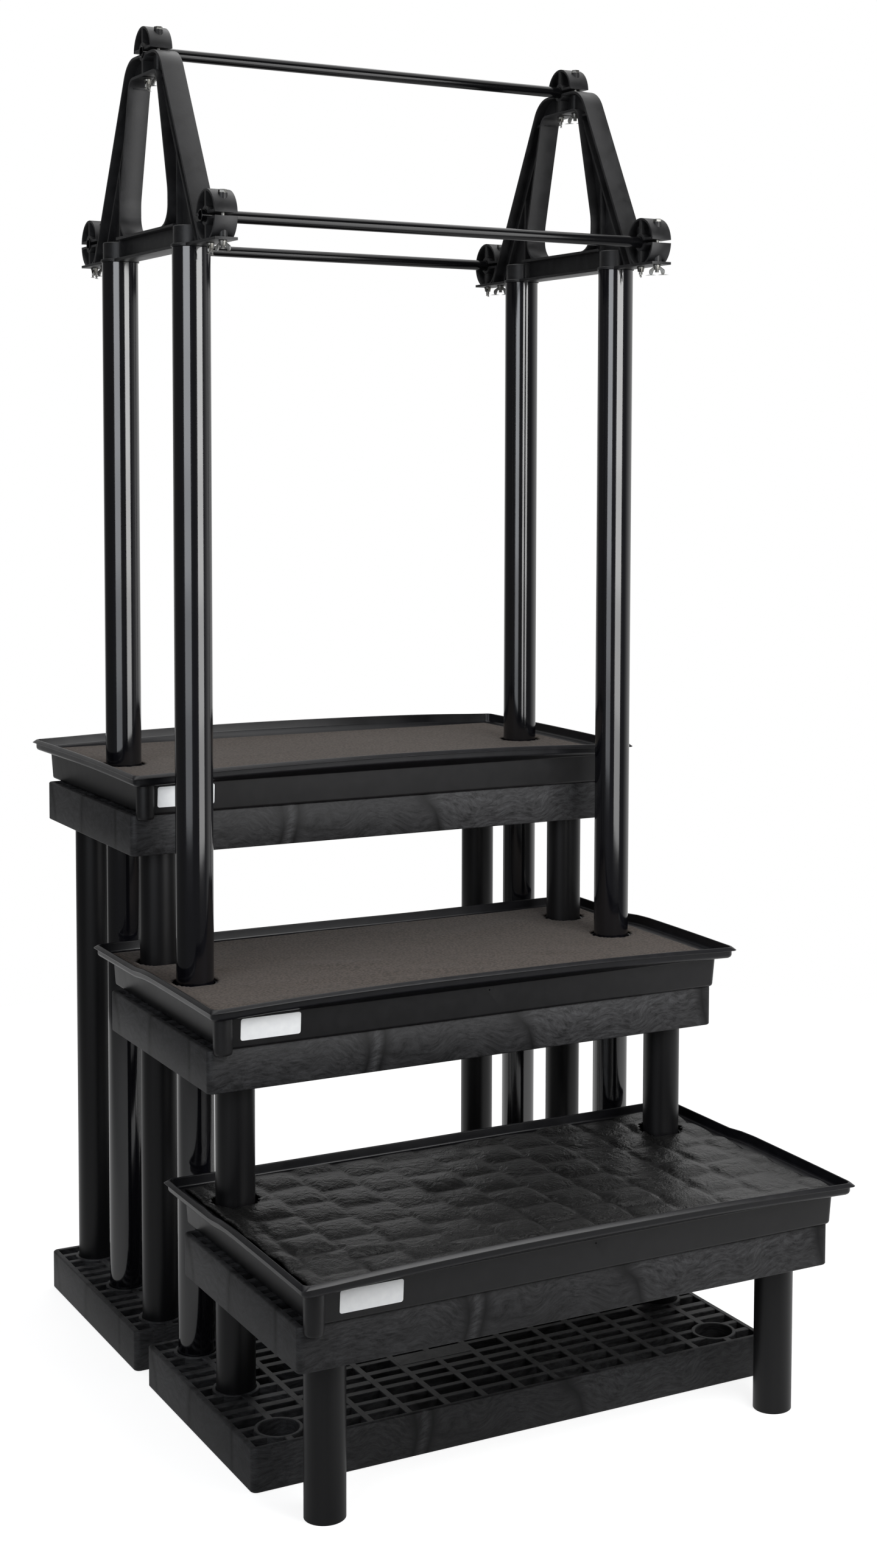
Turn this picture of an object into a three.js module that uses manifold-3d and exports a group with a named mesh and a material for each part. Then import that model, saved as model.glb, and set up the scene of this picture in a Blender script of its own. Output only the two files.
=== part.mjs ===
// Plant display stand: slotted plastic decks on pipe legs, three tiers of water trays, and two A-frame
// brackets that clamp three hanging rods above them. Millimetres, +Z up, +X to the right, -Y to the front.
// The origin is on the floor under the middle of the middle tray.

import * as THREE from 'three';
import { mergeVertices } from 'three/addons/utils/BufferGeometryUtils.js';
import Module from 'manifold-3d';

const wasm = await Module();
wasm.setup();

// Gaps
const seatGap = 0.3;           // between pieces that rest on each other
const slideClearance = 0.5;    // radial, a pipe in its socket or a rod in its clamp
const trayHoleClearance = 3;   // radial, a tray or mat round a pipe
const overrun = 2;             // how far a cut runs past the face that it opens

// Decks
const deckLength = 1219.2;
const deckDepth = 609.6;
const deckHeight = 90;
const deckCorner = 14;
const deckBorder = 13;         // solid border round the slots
const deckRib = 16;            // rib between two slots
const slotColumns = 7;
const rowPitchShare = 0.4;     // one row of slots to the next, in the pitch of the sockets
const socketEndInset = 87;     // from the deck's end to the sockets' axes
const socketFaceInset = 76.2;  // from the deck's long faces to the axes of the corner sockets
const socketWall = 8;
const socketFloor = 6;         // the stop at mid height of a corner socket

// Tiers: heights of the undersides of the raised decks
const lowerDeckHeight = 322;
const middleDeckHeight = 740;
const topDeckHeight = 1157;

// Pipes
const legDiameter = 82.4;
const legWall = 4;
const uprightDiameter = 81;
const uprightWall = 4;
const pipeSides = 10;
const socketSides = 8;         // outside of the ring round a socket, and of a bracket's collars

// Trays, and where their floors end on a deck
const trayFromLeft = 32;
const trayFromRight = 3;
const trayOverFront = 7;
const trayOverBack = 52;
const trayWall = 3;
const trayShoulderHeight = 66;
const trayHeight = 90;
const trayDraft = 8;           // how far the wall leans out from floor to shoulder
const trayShoulderWidth = 22;
const trayBandLean = 4;
const trayLipWidth = 8;
const trayLipThickness = 2.5;
const trayEdgeRadius = 7;      // floor to wall
const trayCornerRadius = 26;   // of the floor; the wall's corner opens out with its lean
const trayBandCorner = 15;
const trayLipCorner = 9;
const trayCornerSteps = 2;
const channelWidth = 34;       // water channel between the wall and the raised floor
const channelDraft = 6;
const drainRadius = 20;
const drainDrop = 15;          // how far the drain column hangs below the deck's top
const drainInset = 8;          // from the left end of the tray's floor to the column's axis

// Mats
const matThickness = 7;
const matEdgeGap = 3;          // from the mat's edge to the tray's wall

// Brackets
const bracketWidth = 50;
const lowerRodHeight = 2525;
const topRodRise = 386;        // from the lower rods to the top rod
const clampOffset = 375;       // from the bracket's middle to its front and rear rods
const clampRadius = 55;
const clampRim = 5;
const clampSplit = 7;          // gap between a clamp's halves
const clampLip = 5.5;
const clampRing = 7;           // wall round the rod
const clampSpoke = 8;
const clampSides = 12;
const flangeThickness = 6;
const webThickness = 6;
const innerRibWidth = 32;      // ribs that stand lower than the flanges
const bracketFoot = 52;        // from the lower rods down to the underside
const frameLeanShare = 0.5575; // outward run of the frame's leg for each unit of drop
const frameHalfWidth = 314;    // at the height of the lower rods
const frameShoulderRadius = 75;
const windowTopHalf = 84;
const windowKneeHalf = 153;
const windowKneeHeight = 75;
const windowTopRadius = 25;
const windowSideRadius = 100;
const windowBottomRadius = 45;
const diagonalInset = 46;      // from the frame's outer edge to the diagonal rib
const postHalf = 184;          // from the bracket's middle to its short upright ribs
const cornerSteps = 2;
const bossRadius = 38;         // over each pipe
const bossGap = 2;             // under the window's sill
const collarRadius = 43;
const spigotLength = 40;
const spigotWall = 5;

// Rods
const rodDiameter = 25.4;
const rodWall = 2.6;
const rodStandout = 2;         // past the brackets' outer faces
const frontRodShift = 9;       // the front rod sits this far to the left
const rodSides = 8;

// Clamp bolts and wing nuts
const boltDiameter = 8;
const boltOffset = 35;         // from the rod's axis
const boltHoleClearance = 0.8; // radial
const boltBossRadius = 10;
const boltSeat = 44;           // height of the head's seat over the rod's axis
const boltHeadAcross = 17;
const boltHeadHeight = 7;
const boltTail = 6;            // past the wing nut
const boltSides = 6;
const bossSides = 6;
const nutBaseRadius = 9;
const nutTipRadius = 6.5;
const nutHubHeight = 11;
const nutRoot = 2;             // from the nut's seat down to the top of its wings
const nutSpan = 38;
const nutReach = 22;           // from the nut's seat down to the ends of its wings
const nutWingHeight = 9;
const nutWingThickness = 3.2;
const nutTurn = 35;            // degrees from square

// Materials
const finishes = {
  deck: { color: 0x3b3b3d, roughness: 0.75 },
  leg: { color: 0x2b2a2c, roughness: 0.5 },
  upright: { color: 0x141418, roughness: 0.15 },
  tray: { color: 0x242426, roughness: 0.4 },
  felt: { color: 0x5a524b, roughness: 0.95 },
  quilt: { color: 0x202022, roughness: 0.6 },
  bracket: { color: 0x303032, roughness: 0.55 },
  rod: { color: 0x1a1a1c, roughness: 0.25, metalness: 0.2 },
  zinc: { color: 0xb9b9b4, roughness: 0.35, metalness: 0.9 },
};

// Places worked out from the sizes
const half = (size) => size / 2;
const columnX = half(deckLength) - socketEndInset;
const socketPitch = half(deckDepth) - socketFaceInset;
const socketRadius = half(legDiameter) + slideClearance;
const stopLow = half(deckHeight) - half(socketFloor);
const stopHigh = half(deckHeight) + half(socketFloor);
const trayFloorLength = deckLength - trayFromLeft - trayFromRight;
const trayFloorDepth = deckDepth + trayOverFront + trayOverBack;
const deckShiftX = half(trayFromRight - trayFromLeft);
const deckShiftY = half(trayOverFront - trayOverBack);
const shoulderOut = trayDraft + trayShoulderWidth;
const bandOut = shoulderOut + trayBandLean;
const lipOut = bandOut + trayLipWidth;
const raisedFloor = trayShoulderHeight + trayWall;
const trayHoleRadius = half(Math.max(legDiameter, uprightDiameter)) + trayHoleClearance;
const bracketUnderside = lowerRodHeight - bracketFoot;
const clampBore = half(rodDiameter) + slideClearance;
const boltHole = half(boltDiameter) + boltHoleClearance;
const boltHeadCorner = half(boltHeadAcross) / Math.cos(Math.PI / boltSides);

// Solids, and the joins and cuts between them
function solidOf(geometry) {
  const bare = geometry.clone();
  bare.deleteAttribute('normal');
  bare.deleteAttribute('uv');
  const welded = mergeVertices(bare);
  return new wasm.Manifold(new wasm.Mesh({
    numProp: 3,
    vertProperties: new Float32Array(welded.attributes.position.array),
    triVerts: new Uint32Array(welded.index.array),
  }));
}

function geometryOf(solid) {
  const mesh = solid.asOriginal().simplify().getMesh();
  const geometry = new THREE.BufferGeometry();
  geometry.setAttribute('position', new THREE.BufferAttribute(new Float32Array(mesh.vertProperties), 3));
  geometry.setIndex(new THREE.BufferAttribute(new Uint32Array(mesh.triVerts), 1));
  geometry.computeVertexNormals();
  return geometry;
}

const joined = (solids) => solids.reduce((sum, solid) => sum.add(solid)).asOriginal();
const cutAway = (solid, cuts) => cuts.reduce((rest, cut) => rest.subtract(cut), solid).asOriginal();

// A closed outline through points [along, up]
const outline = (points) => new THREE.Shape(points.map(([a, b]) => new THREE.Vector2(a, b)));

function withHole(shape, hole) {
  shape.holes.push(hole);
  return shape;
}

function rectangle(a0, b0, a1, b1) {
  return outline([[a0, b0], [a1, b0], [a1, b1], [a0, b1]]);
}

// A regular outline with flats on its axes, so that a pipe, its socket and its hole line up
function round(radius, sides, a = 0, b = 0) {
  const points = [];
  for (let i = 0; i < sides; i += 1) {
    const angle = (2 * Math.PI * (i + 0.5)) / sides;
    points.push([a + radius * Math.cos(angle), b + radius * Math.sin(angle)]);
  }
  return outline(points);
}

// A straight rib between two points
function strip([a0, b0], [a1, b1], wall) {
  const along = new THREE.Vector2(a1 - a0, b1 - b0).normalize();
  const side = new THREE.Vector2(-along.y, along.x).multiplyScalar(half(wall));
  return outline([
    [a0 - side.x, b0 - side.y],
    [a1 - side.x, b1 - side.y],
    [a1 + side.x, b1 + side.y],
    [a0 + side.x, b0 + side.y],
  ]);
}

// An outline pulled up from one height to another
function risen(shape, from, to) {
  const geometry = new THREE.ExtrudeGeometry(shape, { depth: to - from, bevelEnabled: false });
  return solidOf(geometry.translate(0, 0, from));
}

// An outline in the upright plane that faces sideways, given a width along X
const acrossBasis = new THREE.Matrix4().makeBasis(
  new THREE.Vector3(0, 1, 0),
  new THREE.Vector3(0, 0, 1),
  new THREE.Vector3(1, 0, 0),
);

function across(shape, width) {
  const geometry = new THREE.ExtrudeGeometry(shape, { depth: width, bevelEnabled: false });
  geometry.translate(0, 0, -half(width));
  return solidOf(geometry.applyMatrix4(acrossBasis));
}

const post = (radius, sides, from, to, x = 0, y = 0) => risen(round(radius, sides, x, y), from, to);
const pipeShape = (outer, wall) => withHole(round(outer, pipeSides), round(outer - wall, pipeSides));

// Corners [along, up, radius] of a closed outline, each rounded in even steps
function filleted(corners, steps) {
  const points = [];
  corners.forEach(([a, b, radius], index) => {
    if (radius <= 0) {
      points.push([a, b]);
      return;
    }
    const corner = new THREE.Vector2(a, b);
    const before = corners[(index + corners.length - 1) % corners.length];
    const after = corners[(index + 1) % corners.length];
    const back = new THREE.Vector2(before[0] - a, before[1] - b).normalize();
    const ahead = new THREE.Vector2(after[0] - a, after[1] - b).normalize();
    const halfAngle = half(Math.acos(back.dot(ahead)));
    const reach = radius / Math.tan(halfAngle);
    const centre = back.clone().add(ahead).normalize();
    centre.multiplyScalar(radius / Math.sin(halfAngle)).add(corner);
    const start = back.multiplyScalar(reach).add(corner).sub(centre);
    const end = ahead.multiplyScalar(reach).add(corner).sub(centre);
    const turn = Math.atan2(start.x * end.y - start.y * end.x, start.dot(end));
    for (let step = 0; step <= steps; step += 1) {
      const point = start.clone().rotateAround(new THREE.Vector2(), (turn * step) / steps).add(centre);
      points.push([point.x, point.y]);
    }
  });
  return points;
}

// The same corners moved inwards by a wall; they run anticlockwise
function inset(corners, wall) {
  return corners.map(([a, b, radius], index) => {
    const before = corners[(index + corners.length - 1) % corners.length];
    const after = corners[(index + 1) % corners.length];
    const first = new THREE.Vector2(before[1] - b, a - before[0]).normalize();
    const second = new THREE.Vector2(b - after[1], after[0] - a).normalize();
    const move = first.clone().add(second).multiplyScalar(wall / (1 + first.dot(second)));
    return [a + move.x, b + move.y, Math.max(radius - wall, 0)];
  });
}

const filledBand = (corners) => outline(filleted(corners, cornerSteps));
const band = (corners, wall) => withHole(filledBand(corners), filledBand(inset(corners, wall)));

// Deck: a slotted plate with three sockets in each end. The corner sockets have a stop at mid height,
// where the pipe from below and the pipe from above meet. The middle sockets run right through, and the
// row of slots between them is narrow enough for the ribs beside it to hold their rings.
function deckSolid() {
  const x = half(deckLength);
  const y = half(deckDepth);
  const slotX = x - deckBorder;
  const slotY = y - deckBorder;
  const corners = [[-x, -y, deckCorner], [x, -y, deckCorner], [x, y, deckCorner], [-x, y, deckCorner]];
  const plate = risen(outline(filleted(corners, 1)), 0, deckHeight);
  const columnPitch = deckLength / slotColumns;
  const rowPitch = socketPitch * rowPitchShare;
  const outerRow = Math.ceil(y / rowPitch);
  const socketRow = socketRadius - half(socketWall);
  const slots = [];
  for (let row = -outerRow; row <= outerRow; row += 1) {
    const reach = row === 0 ? socketRow : half(rowPitch - deckRib);
    const low = Math.max(row * rowPitch - reach, -slotY);
    const high = Math.min(row * rowPitch + reach, slotY);
    for (let column = 0; column < slotColumns && high - low > deckRib; column += 1) {
      const left = Math.max(column * columnPitch - x + half(deckRib), -slotX);
      const right = Math.min((column + 1) * columnPitch - x - half(deckRib), slotX);
      slots.push(risen(rectangle(left, low, right, high), -overrun, deckHeight + overrun));
    }
  }
  const sockets = [];
  const bores = [];
  for (const side of [-1, 1]) {
    for (const place of [-1, 0, 1]) {
      const at = [side * columnX, place * socketPitch];
      sockets.push(post(socketRadius + socketWall, socketSides, 0, deckHeight, ...at));
      if (place === 0) {
        bores.push(post(socketRadius, pipeSides, -overrun, deckHeight + overrun, ...at));
      } else {
        bores.push(post(socketRadius, pipeSides, -overrun, stopLow, ...at));
        bores.push(post(socketRadius, pipeSides, stopHigh, deckHeight + overrun, ...at));
      }
    }
  }
  return cutAway(joined([cutAway(plate, slots), ...sockets]), bores);
}

// A level ring of the tray, offset from the outline of its floor
function trayRing(offset, height, radius = Math.max(trayCornerRadius + offset, trayWall)) {
  const x = half(trayFloorLength) + offset;
  const y = half(trayFloorDepth) + offset;
  const corners = [[-x, -y, radius], [x, -y, radius], [x, y, radius], [-x, y, radius]];
  return filleted(corners, trayCornerSteps).map(([a, b]) => [a, b, height]);
}

// A closed skin over a run of level rings, capped at its first and last ring
function skinOf(rings) {
  const count = rings[0].length;
  const faces = [];
  for (let ring = 0; ring + 1 < rings.length; ring += 1) {
    for (let i = 0; i < count; i += 1) {
      const a = ring * count + i;
      const b = ring * count + ((i + 1) % count);
      faces.push(a, b, b + count, a, b + count, a + count);
    }
  }
  const last = (rings.length - 1) * count;
  for (let i = 1; i + 1 < count; i += 1) {
    faces.push(0, i + 1, i, last, last + i, last + i + 1);
  }
  const geometry = new THREE.BufferGeometry();
  geometry.setAttribute('position', new THREE.Float32BufferAttribute(rings.flat(2), 3));
  geometry.setIndex(faces);
  return solidOf(geometry);
}

// Where pipes pass a tray, from the tray's own middle; places count sockets from the deck's middle
function passages(places) {
  return places.flatMap((place) => [-1, 1].map((side) => [
    side * columnX + deckShiftX,
    place * socketPitch + deckShiftY,
  ]));
}

// Tray: a sheet that runs from under the raised floor, round the water channel, up the wall, out over the
// shoulder and the lip, and back down the inside. A collar round each pipe keeps the water in.
function traySolid(places) {
  const sheet = skinOf([
    trayRing(-channelWidth - channelDraft - trayWall, trayShoulderHeight),
    trayRing(-channelWidth - trayWall, 0),
    trayRing(-trayEdgeRadius, 0),
    trayRing(0, trayEdgeRadius),
    trayRing(trayDraft, trayShoulderHeight),
    trayRing(shoulderOut, trayShoulderHeight, trayBandCorner),
    trayRing(bandOut, trayHeight - trayLipThickness, trayBandCorner),
    trayRing(lipOut, trayHeight - trayLipThickness, trayLipCorner),
    trayRing(lipOut, trayHeight, trayLipCorner),
    trayRing(bandOut - trayWall, trayHeight, trayBandCorner - trayWall),
    trayRing(shoulderOut - trayWall, raisedFloor, trayBandCorner - trayWall),
    trayRing(trayDraft - trayWall, raisedFloor),
    trayRing(-trayWall, trayEdgeRadius),
    trayRing(-trayEdgeRadius, trayWall),
    trayRing(-channelWidth, trayWall),
    trayRing(-channelWidth - channelDraft, raisedFloor),
  ]);
  const inside = skinOf([
    trayRing(-trayEdgeRadius, half(trayWall)),
    trayRing(-half(trayWall), trayEdgeRadius),
    trayRing(trayDraft - half(trayWall), trayHeight),
  ]);
  const drainX = drainInset - half(trayFloorLength);
  const drainY = -half(trayFloorDepth);
  const deckFace = deckShiftY - half(deckDepth) - seatGap;
  const drainTop = trayShoulderHeight + half(trayWall);
  const drain = post(drainRadius, pipeSides, -drainDrop, drainTop, drainX, drainY);
  const deckSpace = risen(rectangle(
    drainX - 2 * drainRadius,
    deckFace,
    drainX + 2 * drainRadius,
    drainY + 2 * drainRadius,
  ), -drainDrop - overrun, 0);
  const collars = passages(places).map((at) => (
    post(trayHoleRadius + trayWall, pipeSides, 0, raisedFloor, ...at)
  ));
  const holes = passages(places).map((at) => (
    post(trayHoleRadius, pipeSides, -overrun, raisedFloor + overrun, ...at)
  ));
  return cutAway(joined([sheet, cutAway(drain, [inside, deckSpace]), ...collars]), holes);
}

// Mat: a slab on the tray's raised floor, with a hole round each pipe
function matSolid(places) {
  const edge = trayRing(trayDraft - trayWall - matEdgeGap, 0).map(([a, b]) => [a, b]);
  const holes = passages(places).map((at) => (
    post(trayHoleRadius, pipeSides, -overrun, matThickness + overrun, ...at)
  ));
  return cutAway(risen(outline(edge), 0, matThickness), holes);
}

// One whole wheel of a split clamp, round a rod's axis at the origin
function wheelSolid() {
  const lipHalf = clampRadius - half(clampRim);
  const lipHigh = half(clampSplit) + clampLip;
  const rim = withHole(round(clampRadius, clampSides), round(clampRadius - clampRim, clampSides));
  return joined([
    across(rim, bracketWidth),
    across(round(lipHalf, clampSides), webThickness),
    across(round(clampBore + clampRing, pipeSides), bracketWidth),
    across(rectangle(-half(clampSpoke), -lipHalf, half(clampSpoke), lipHalf), bracketWidth),
    across(rectangle(-lipHalf, -lipHigh, lipHalf, lipHigh), bracketWidth),
  ]);
}

// The part of a clamp between two heights over its rod
function clampPart(solid, low, high) {
  const reach = clampRadius + overrun;
  return solid.intersect(across(rectangle(-reach, low, reach, high), bracketWidth + overrun));
}

const boltPlaces = [-boltOffset, boltOffset];
const rodBore = () => across(round(clampBore, rodSides), bracketWidth + overrun);

// Cap: the upper half of a clamp, fused with the two bolts that hang from it
function capSolid() {
  const bosses = boltPlaces.map((y) => post(boltBossRadius, bossSides, half(clampSplit), boltSeat, 0, y));
  const upper = clampPart(wheelSolid(), half(clampSplit), clampRadius + overrun);
  const tail = bracketFoot + nutHubHeight + boltTail;
  const bolts = boltPlaces.flatMap((y) => [
    post(half(boltDiameter), boltSides, -tail, boltSeat, 0, y),
    post(boltHeadCorner, boltSides, boltSeat - overrun, boltSeat + boltHeadHeight, 0, y),
  ]);
  return joined([upper.subtract(rodBore()), ...bosses, ...bolts]);
}

// Bracket: drawn with its lower rods' axes at height zero and its middle at zero
function bracketSolid() {
  const foot = -bracketFoot;
  const footTop = foot + flangeThickness;
  const saddle = topRodRise - half(clampSplit);
  const windowTop = topRodRise - bracketFoot;
  const outerLeg = (z) => frameHalfWidth - frameLeanShare * z;
  const frameCorners = [
    [-outerLeg(foot), foot, 0],
    [outerLeg(foot), foot, 0],
    [outerLeg(saddle), saddle, frameShoulderRadius],
    [-outerLeg(saddle), saddle, frameShoulderRadius],
  ];
  const windowCorners = [
    [-windowKneeHalf, 0, windowBottomRadius],
    [windowKneeHalf, 0, windowBottomRadius],
    [windowKneeHalf, windowKneeHeight, windowSideRadius],
    [windowTopHalf, windowTop, windowTopRadius],
    [-windowTopHalf, windowTop, windowTopRadius],
    [-windowKneeHalf, windowKneeHeight, windowSideRadius],
  ];
  const diagonal = (z) => outerLeg(z) - diagonalInset;
  const diagonalTop = windowTop - windowTopRadius;
  const postTop = (frameHalfWidth - diagonalInset - postHalf) / frameLeanShare;
  const shelf = windowTop - half(windowTopRadius);
  const shelfEnd = outerLeg(shelf) - flangeThickness;
  const footEnd = clampOffset + clampRadius;
  const ribs = [-1, 1].flatMap((side) => [
    strip(
      [side * diagonal(footTop), footTop],
      [side * diagonal(diagonalTop), diagonalTop],
      flangeThickness,
    ),
    strip([side * postHalf, foot], [side * postHalf, postTop], flangeThickness),
    strip([side * windowTopHalf, shelf], [side * shelfEnd, shelf], flangeThickness),
  ]);
  const frame = joined([
    across(band(frameCorners, flangeThickness), bracketWidth),
    across(filledBand(frameCorners), webThickness),
    across(filledBand(inset(windowCorners, -flangeThickness)), bracketWidth),
    across(rectangle(-postHalf, -flangeThickness, postHalf, 0), bracketWidth),
    ...ribs.map((rib) => across(rib, innerRibWidth)),
  ]);
  const wheelRoom = across(round(clampRadius - half(clampRim), clampSides), bracketWidth + overrun);
  const opened = cutAway(frame, [
    across(filledBand(windowCorners), bracketWidth + overrun),
    wheelRoom.translate(0, clampOffset, 0),
    wheelRoom.translate(0, -clampOffset, 0),
  ]);
  const lower = clampPart(wheelSolid(), foot, -half(clampSplit));
  const ring = across(round(clampBore + clampRing, pipeSides), bracketWidth);
  const spoke = across(rectangle(-half(clampSpoke), foot, half(clampSpoke), 0), bracketWidth);
  const upper = clampPart(joined([ring, spoke]), foot, -half(clampSplit));
  const rodPlaces = [[-clampOffset, 0, lower], [clampOffset, 0, lower], [0, topRodRise, upper]];
  const clamps = rodPlaces.map(([y, z, solid]) => solid.translate(0, y, z));
  const bosses = rodPlaces.flatMap(([y, z]) => boltPlaces.map((bolt) => (
    post(boltBossRadius, bossSides, z + foot, z - half(clampSplit), 0, y + bolt)
  )));
  const boltHoles = rodPlaces.flatMap(([y, z]) => boltPlaces.map((bolt) => (
    post(boltHole, boltSides, z + foot - overrun, z, 0, y + bolt)
  )));
  const rodBores = rodPlaces.map(([y, z]) => rodBore().translate(0, y, z));
  const bossTop = -flangeThickness - bossGap;
  const spigotRadius = half(uprightDiameter) - uprightWall - slideClearance;
  const spigots = [-socketPitch, socketPitch].flatMap((y) => [
    post(bossRadius, pipeSides, foot, bossTop, 0, y),
    post(collarRadius, socketSides, foot, footTop, 0, y),
    post(spigotRadius, pipeSides, foot - spigotLength, footTop, 0, y),
  ]);
  const hollowFoot = foot - spigotLength - overrun;
  const hollowTop = bossTop - flangeThickness;
  const hollows = [-socketPitch, socketPitch].map((y) => (
    post(spigotRadius - spigotWall, pipeSides, hollowFoot, hollowTop, 0, y)
  ));
  const flange = across(rectangle(-footEnd, foot, footEnd, footTop), bracketWidth);
  const whole = joined([opened, flange, ...clamps, ...bosses, ...spigots]);
  return cutAway(whole, [...boltHoles, ...rodBores, ...hollows]);
}

// Wing nut: hangs from its seat at height zero
function nutSolid() {
  const hub = new THREE.CylinderGeometry(nutBaseRadius, nutTipRadius, nutHubHeight, bossSides);
  hub.rotateX(half(Math.PI)).translate(0, 0, -half(nutHubHeight));
  const wingTop = nutWingHeight - nutReach;
  const wings = outline([
    [-half(nutSpan), -nutReach],
    [-half(nutSpan) + nutTipRadius, -nutReach],
    [-nutTipRadius, -nutHubHeight],
    [nutTipRadius, -nutHubHeight],
    [half(nutSpan) - nutTipRadius, -nutReach],
    [half(nutSpan), -nutReach],
    [half(nutSpan), wingTop],
    [nutTipRadius, -nutRoot],
    [-nutTipRadius, -nutRoot],
    [-half(nutSpan), wingTop],
  ]);
  const bore = post(boltHole, boltSides, -nutHubHeight - overrun, overrun);
  return joined([solidOf(hub), across(wings, nutWingThickness)]).subtract(bore);
}

// The stand
const stand = new THREE.Group();

function place(parent, name, geometry, finish, x = 0, y = 0, z = 0) {
  const mesh = new THREE.Mesh(geometry, new THREE.MeshStandardMaterial(finishes[finish]));
  mesh.name = name;
  mesh.position.set(x, y, z);
  parent.add(mesh);
  return mesh;
}

// Decks; a row counts sockets back from the middle of the middle deck
const raised = new THREE.Group();
raised.position.set(deckShiftX, deckShiftY, 0);
stand.add(raised);
const deckGeometry = geometryOf(deckSolid());
const decks = [
  ['rear_base_deck', 2, 0],
  ['front_base_deck', -1, 0],
  ['lower_deck', -2, lowerDeckHeight],
  ['middle_deck', 0, middleDeckHeight],
  ['top_deck', 2, topDeckHeight],
];
for (const [name, row, height] of decks) {
  place(raised, name, deckGeometry, 'deck', 0, row * socketPitch, height);
}

// Pipes: from the floor or a deck's stop up to the next deck's stop or a bracket
const onStop = (deckBase) => deckBase + stopHigh + seatGap;
const toStop = (deckBase) => deckBase + stopLow - seatGap;
const legs = [
  ['rear_leg', 3, onStop(0), toStop(topDeckHeight)],
  ['middle_lower_leg', 1, onStop(0), toStop(middleDeckHeight)],
  ['middle_upper_leg', 1, onStop(middleDeckHeight), toStop(topDeckHeight)],
  ['front_lower_leg', -1, 0, toStop(lowerDeckHeight)],
  ['front_upper_leg', -1, onStop(lowerDeckHeight), toStop(middleDeckHeight)],
  ['floor_leg', -3, 0, toStop(lowerDeckHeight)],
];
const uprights = [
  ['rear_upright', 2, 0, bracketUnderside - seatGap],
  ['front_upright', 0, onStop(0), bracketUnderside - seatGap],
];
const ends = [['left', -columnX], ['right', columnX]];
for (const [side, x] of ends) {
  for (const [name, row, from, to] of legs) {
    const leg = geometryOf(risen(pipeShape(half(legDiameter), legWall), from, to));
    place(raised, `${side}_${name}`, leg, 'leg', x, row * socketPitch);
  }
  for (const [name, row, from, to] of uprights) {
    const upright = geometryOf(risen(pipeShape(half(uprightDiameter), uprightWall), from, to));
    place(raised, `${side}_${name}`, upright, 'upright', x, row * socketPitch);
  }
}

// Trays and mats
const tiers = [
  ['bottom', -2, lowerDeckHeight, [1], 'quilt'],
  ['middle', 0, middleDeckHeight, [0, 1], 'felt'],
  ['top', 2, topDeckHeight, [0], 'felt'],
];
for (const [name, row, deckBase, places, cloth] of tiers) {
  const trayBase = deckBase + deckHeight + seatGap;
  const matBase = trayBase + raisedFloor + seatGap;
  place(stand, `${name}_tray`, geometryOf(traySolid(places)), 'tray', 0, row * socketPitch, trayBase);
  place(stand, `${name}_mat`, geometryOf(matSolid(places)), cloth, 0, row * socketPitch, matBase);
}

// Brackets, clamps, rods and wing nuts
const head = new THREE.Group();
head.position.set(deckShiftX, deckShiftY + socketPitch, lowerRodHeight);
stand.add(head);
const bracketGeometry = geometryOf(bracketSolid());
const capGeometry = geometryOf(capSolid());
const nutGeometry = geometryOf(nutSolid());
const rodLength = 2 * columnX + bracketWidth + 2 * rodStandout;
const rodShape = withHole(round(half(rodDiameter), rodSides), round(half(rodDiameter) - rodWall, rodSides));
const rodGeometry = geometryOf(across(rodShape, rodLength));
const rods = [
  ['front', -clampOffset, 0, -frontRodShift],
  ['rear', clampOffset, 0, 0],
  ['top', 0, topRodRise, 0],
];
for (const [side, x] of ends) {
  place(head, `${side}_bracket`, bracketGeometry, 'bracket', x);
}
for (const [name, y, z, shift] of rods) {
  place(head, `${name}_rod`, rodGeometry, 'rod', shift, y, z);
  for (const [side, x] of ends) {
    place(head, `${side}_${name}_clamp_cap`, capGeometry, 'bracket', x, y, z);
    for (const [end, offset] of [['a', -boltOffset], ['b', boltOffset]]) {
      const seat = z - bracketFoot - seatGap;
      const nut = place(head, `${side}_${name}_wing_nut_${end}`, nutGeometry, 'zinc', x, y + offset, seat);
      nut.rotation.z = THREE.MathUtils.degToRad(end === 'a' ? nutTurn : -nutTurn);
    }
  }
}

export default stand;
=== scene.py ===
"""Looks of the plant display stand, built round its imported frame. Metres, +Z up, -Y to the front."""

import math

import bpy
from mathutils import Matrix, Vector, noise


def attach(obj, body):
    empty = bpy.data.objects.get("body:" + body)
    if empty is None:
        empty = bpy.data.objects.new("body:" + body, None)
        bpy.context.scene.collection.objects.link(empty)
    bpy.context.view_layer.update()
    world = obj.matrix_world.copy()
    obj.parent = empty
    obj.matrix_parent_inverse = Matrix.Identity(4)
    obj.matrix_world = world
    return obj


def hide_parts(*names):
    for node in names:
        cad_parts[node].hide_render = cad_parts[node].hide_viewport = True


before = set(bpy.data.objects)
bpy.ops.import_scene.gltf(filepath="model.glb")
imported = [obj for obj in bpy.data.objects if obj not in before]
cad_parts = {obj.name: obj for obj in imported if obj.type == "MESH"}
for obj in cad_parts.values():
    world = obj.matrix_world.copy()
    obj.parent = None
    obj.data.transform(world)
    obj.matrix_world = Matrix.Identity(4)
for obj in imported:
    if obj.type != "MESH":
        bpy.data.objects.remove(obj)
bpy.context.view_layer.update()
bpy.context.scene.view_settings.view_transform = "Standard"

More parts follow.
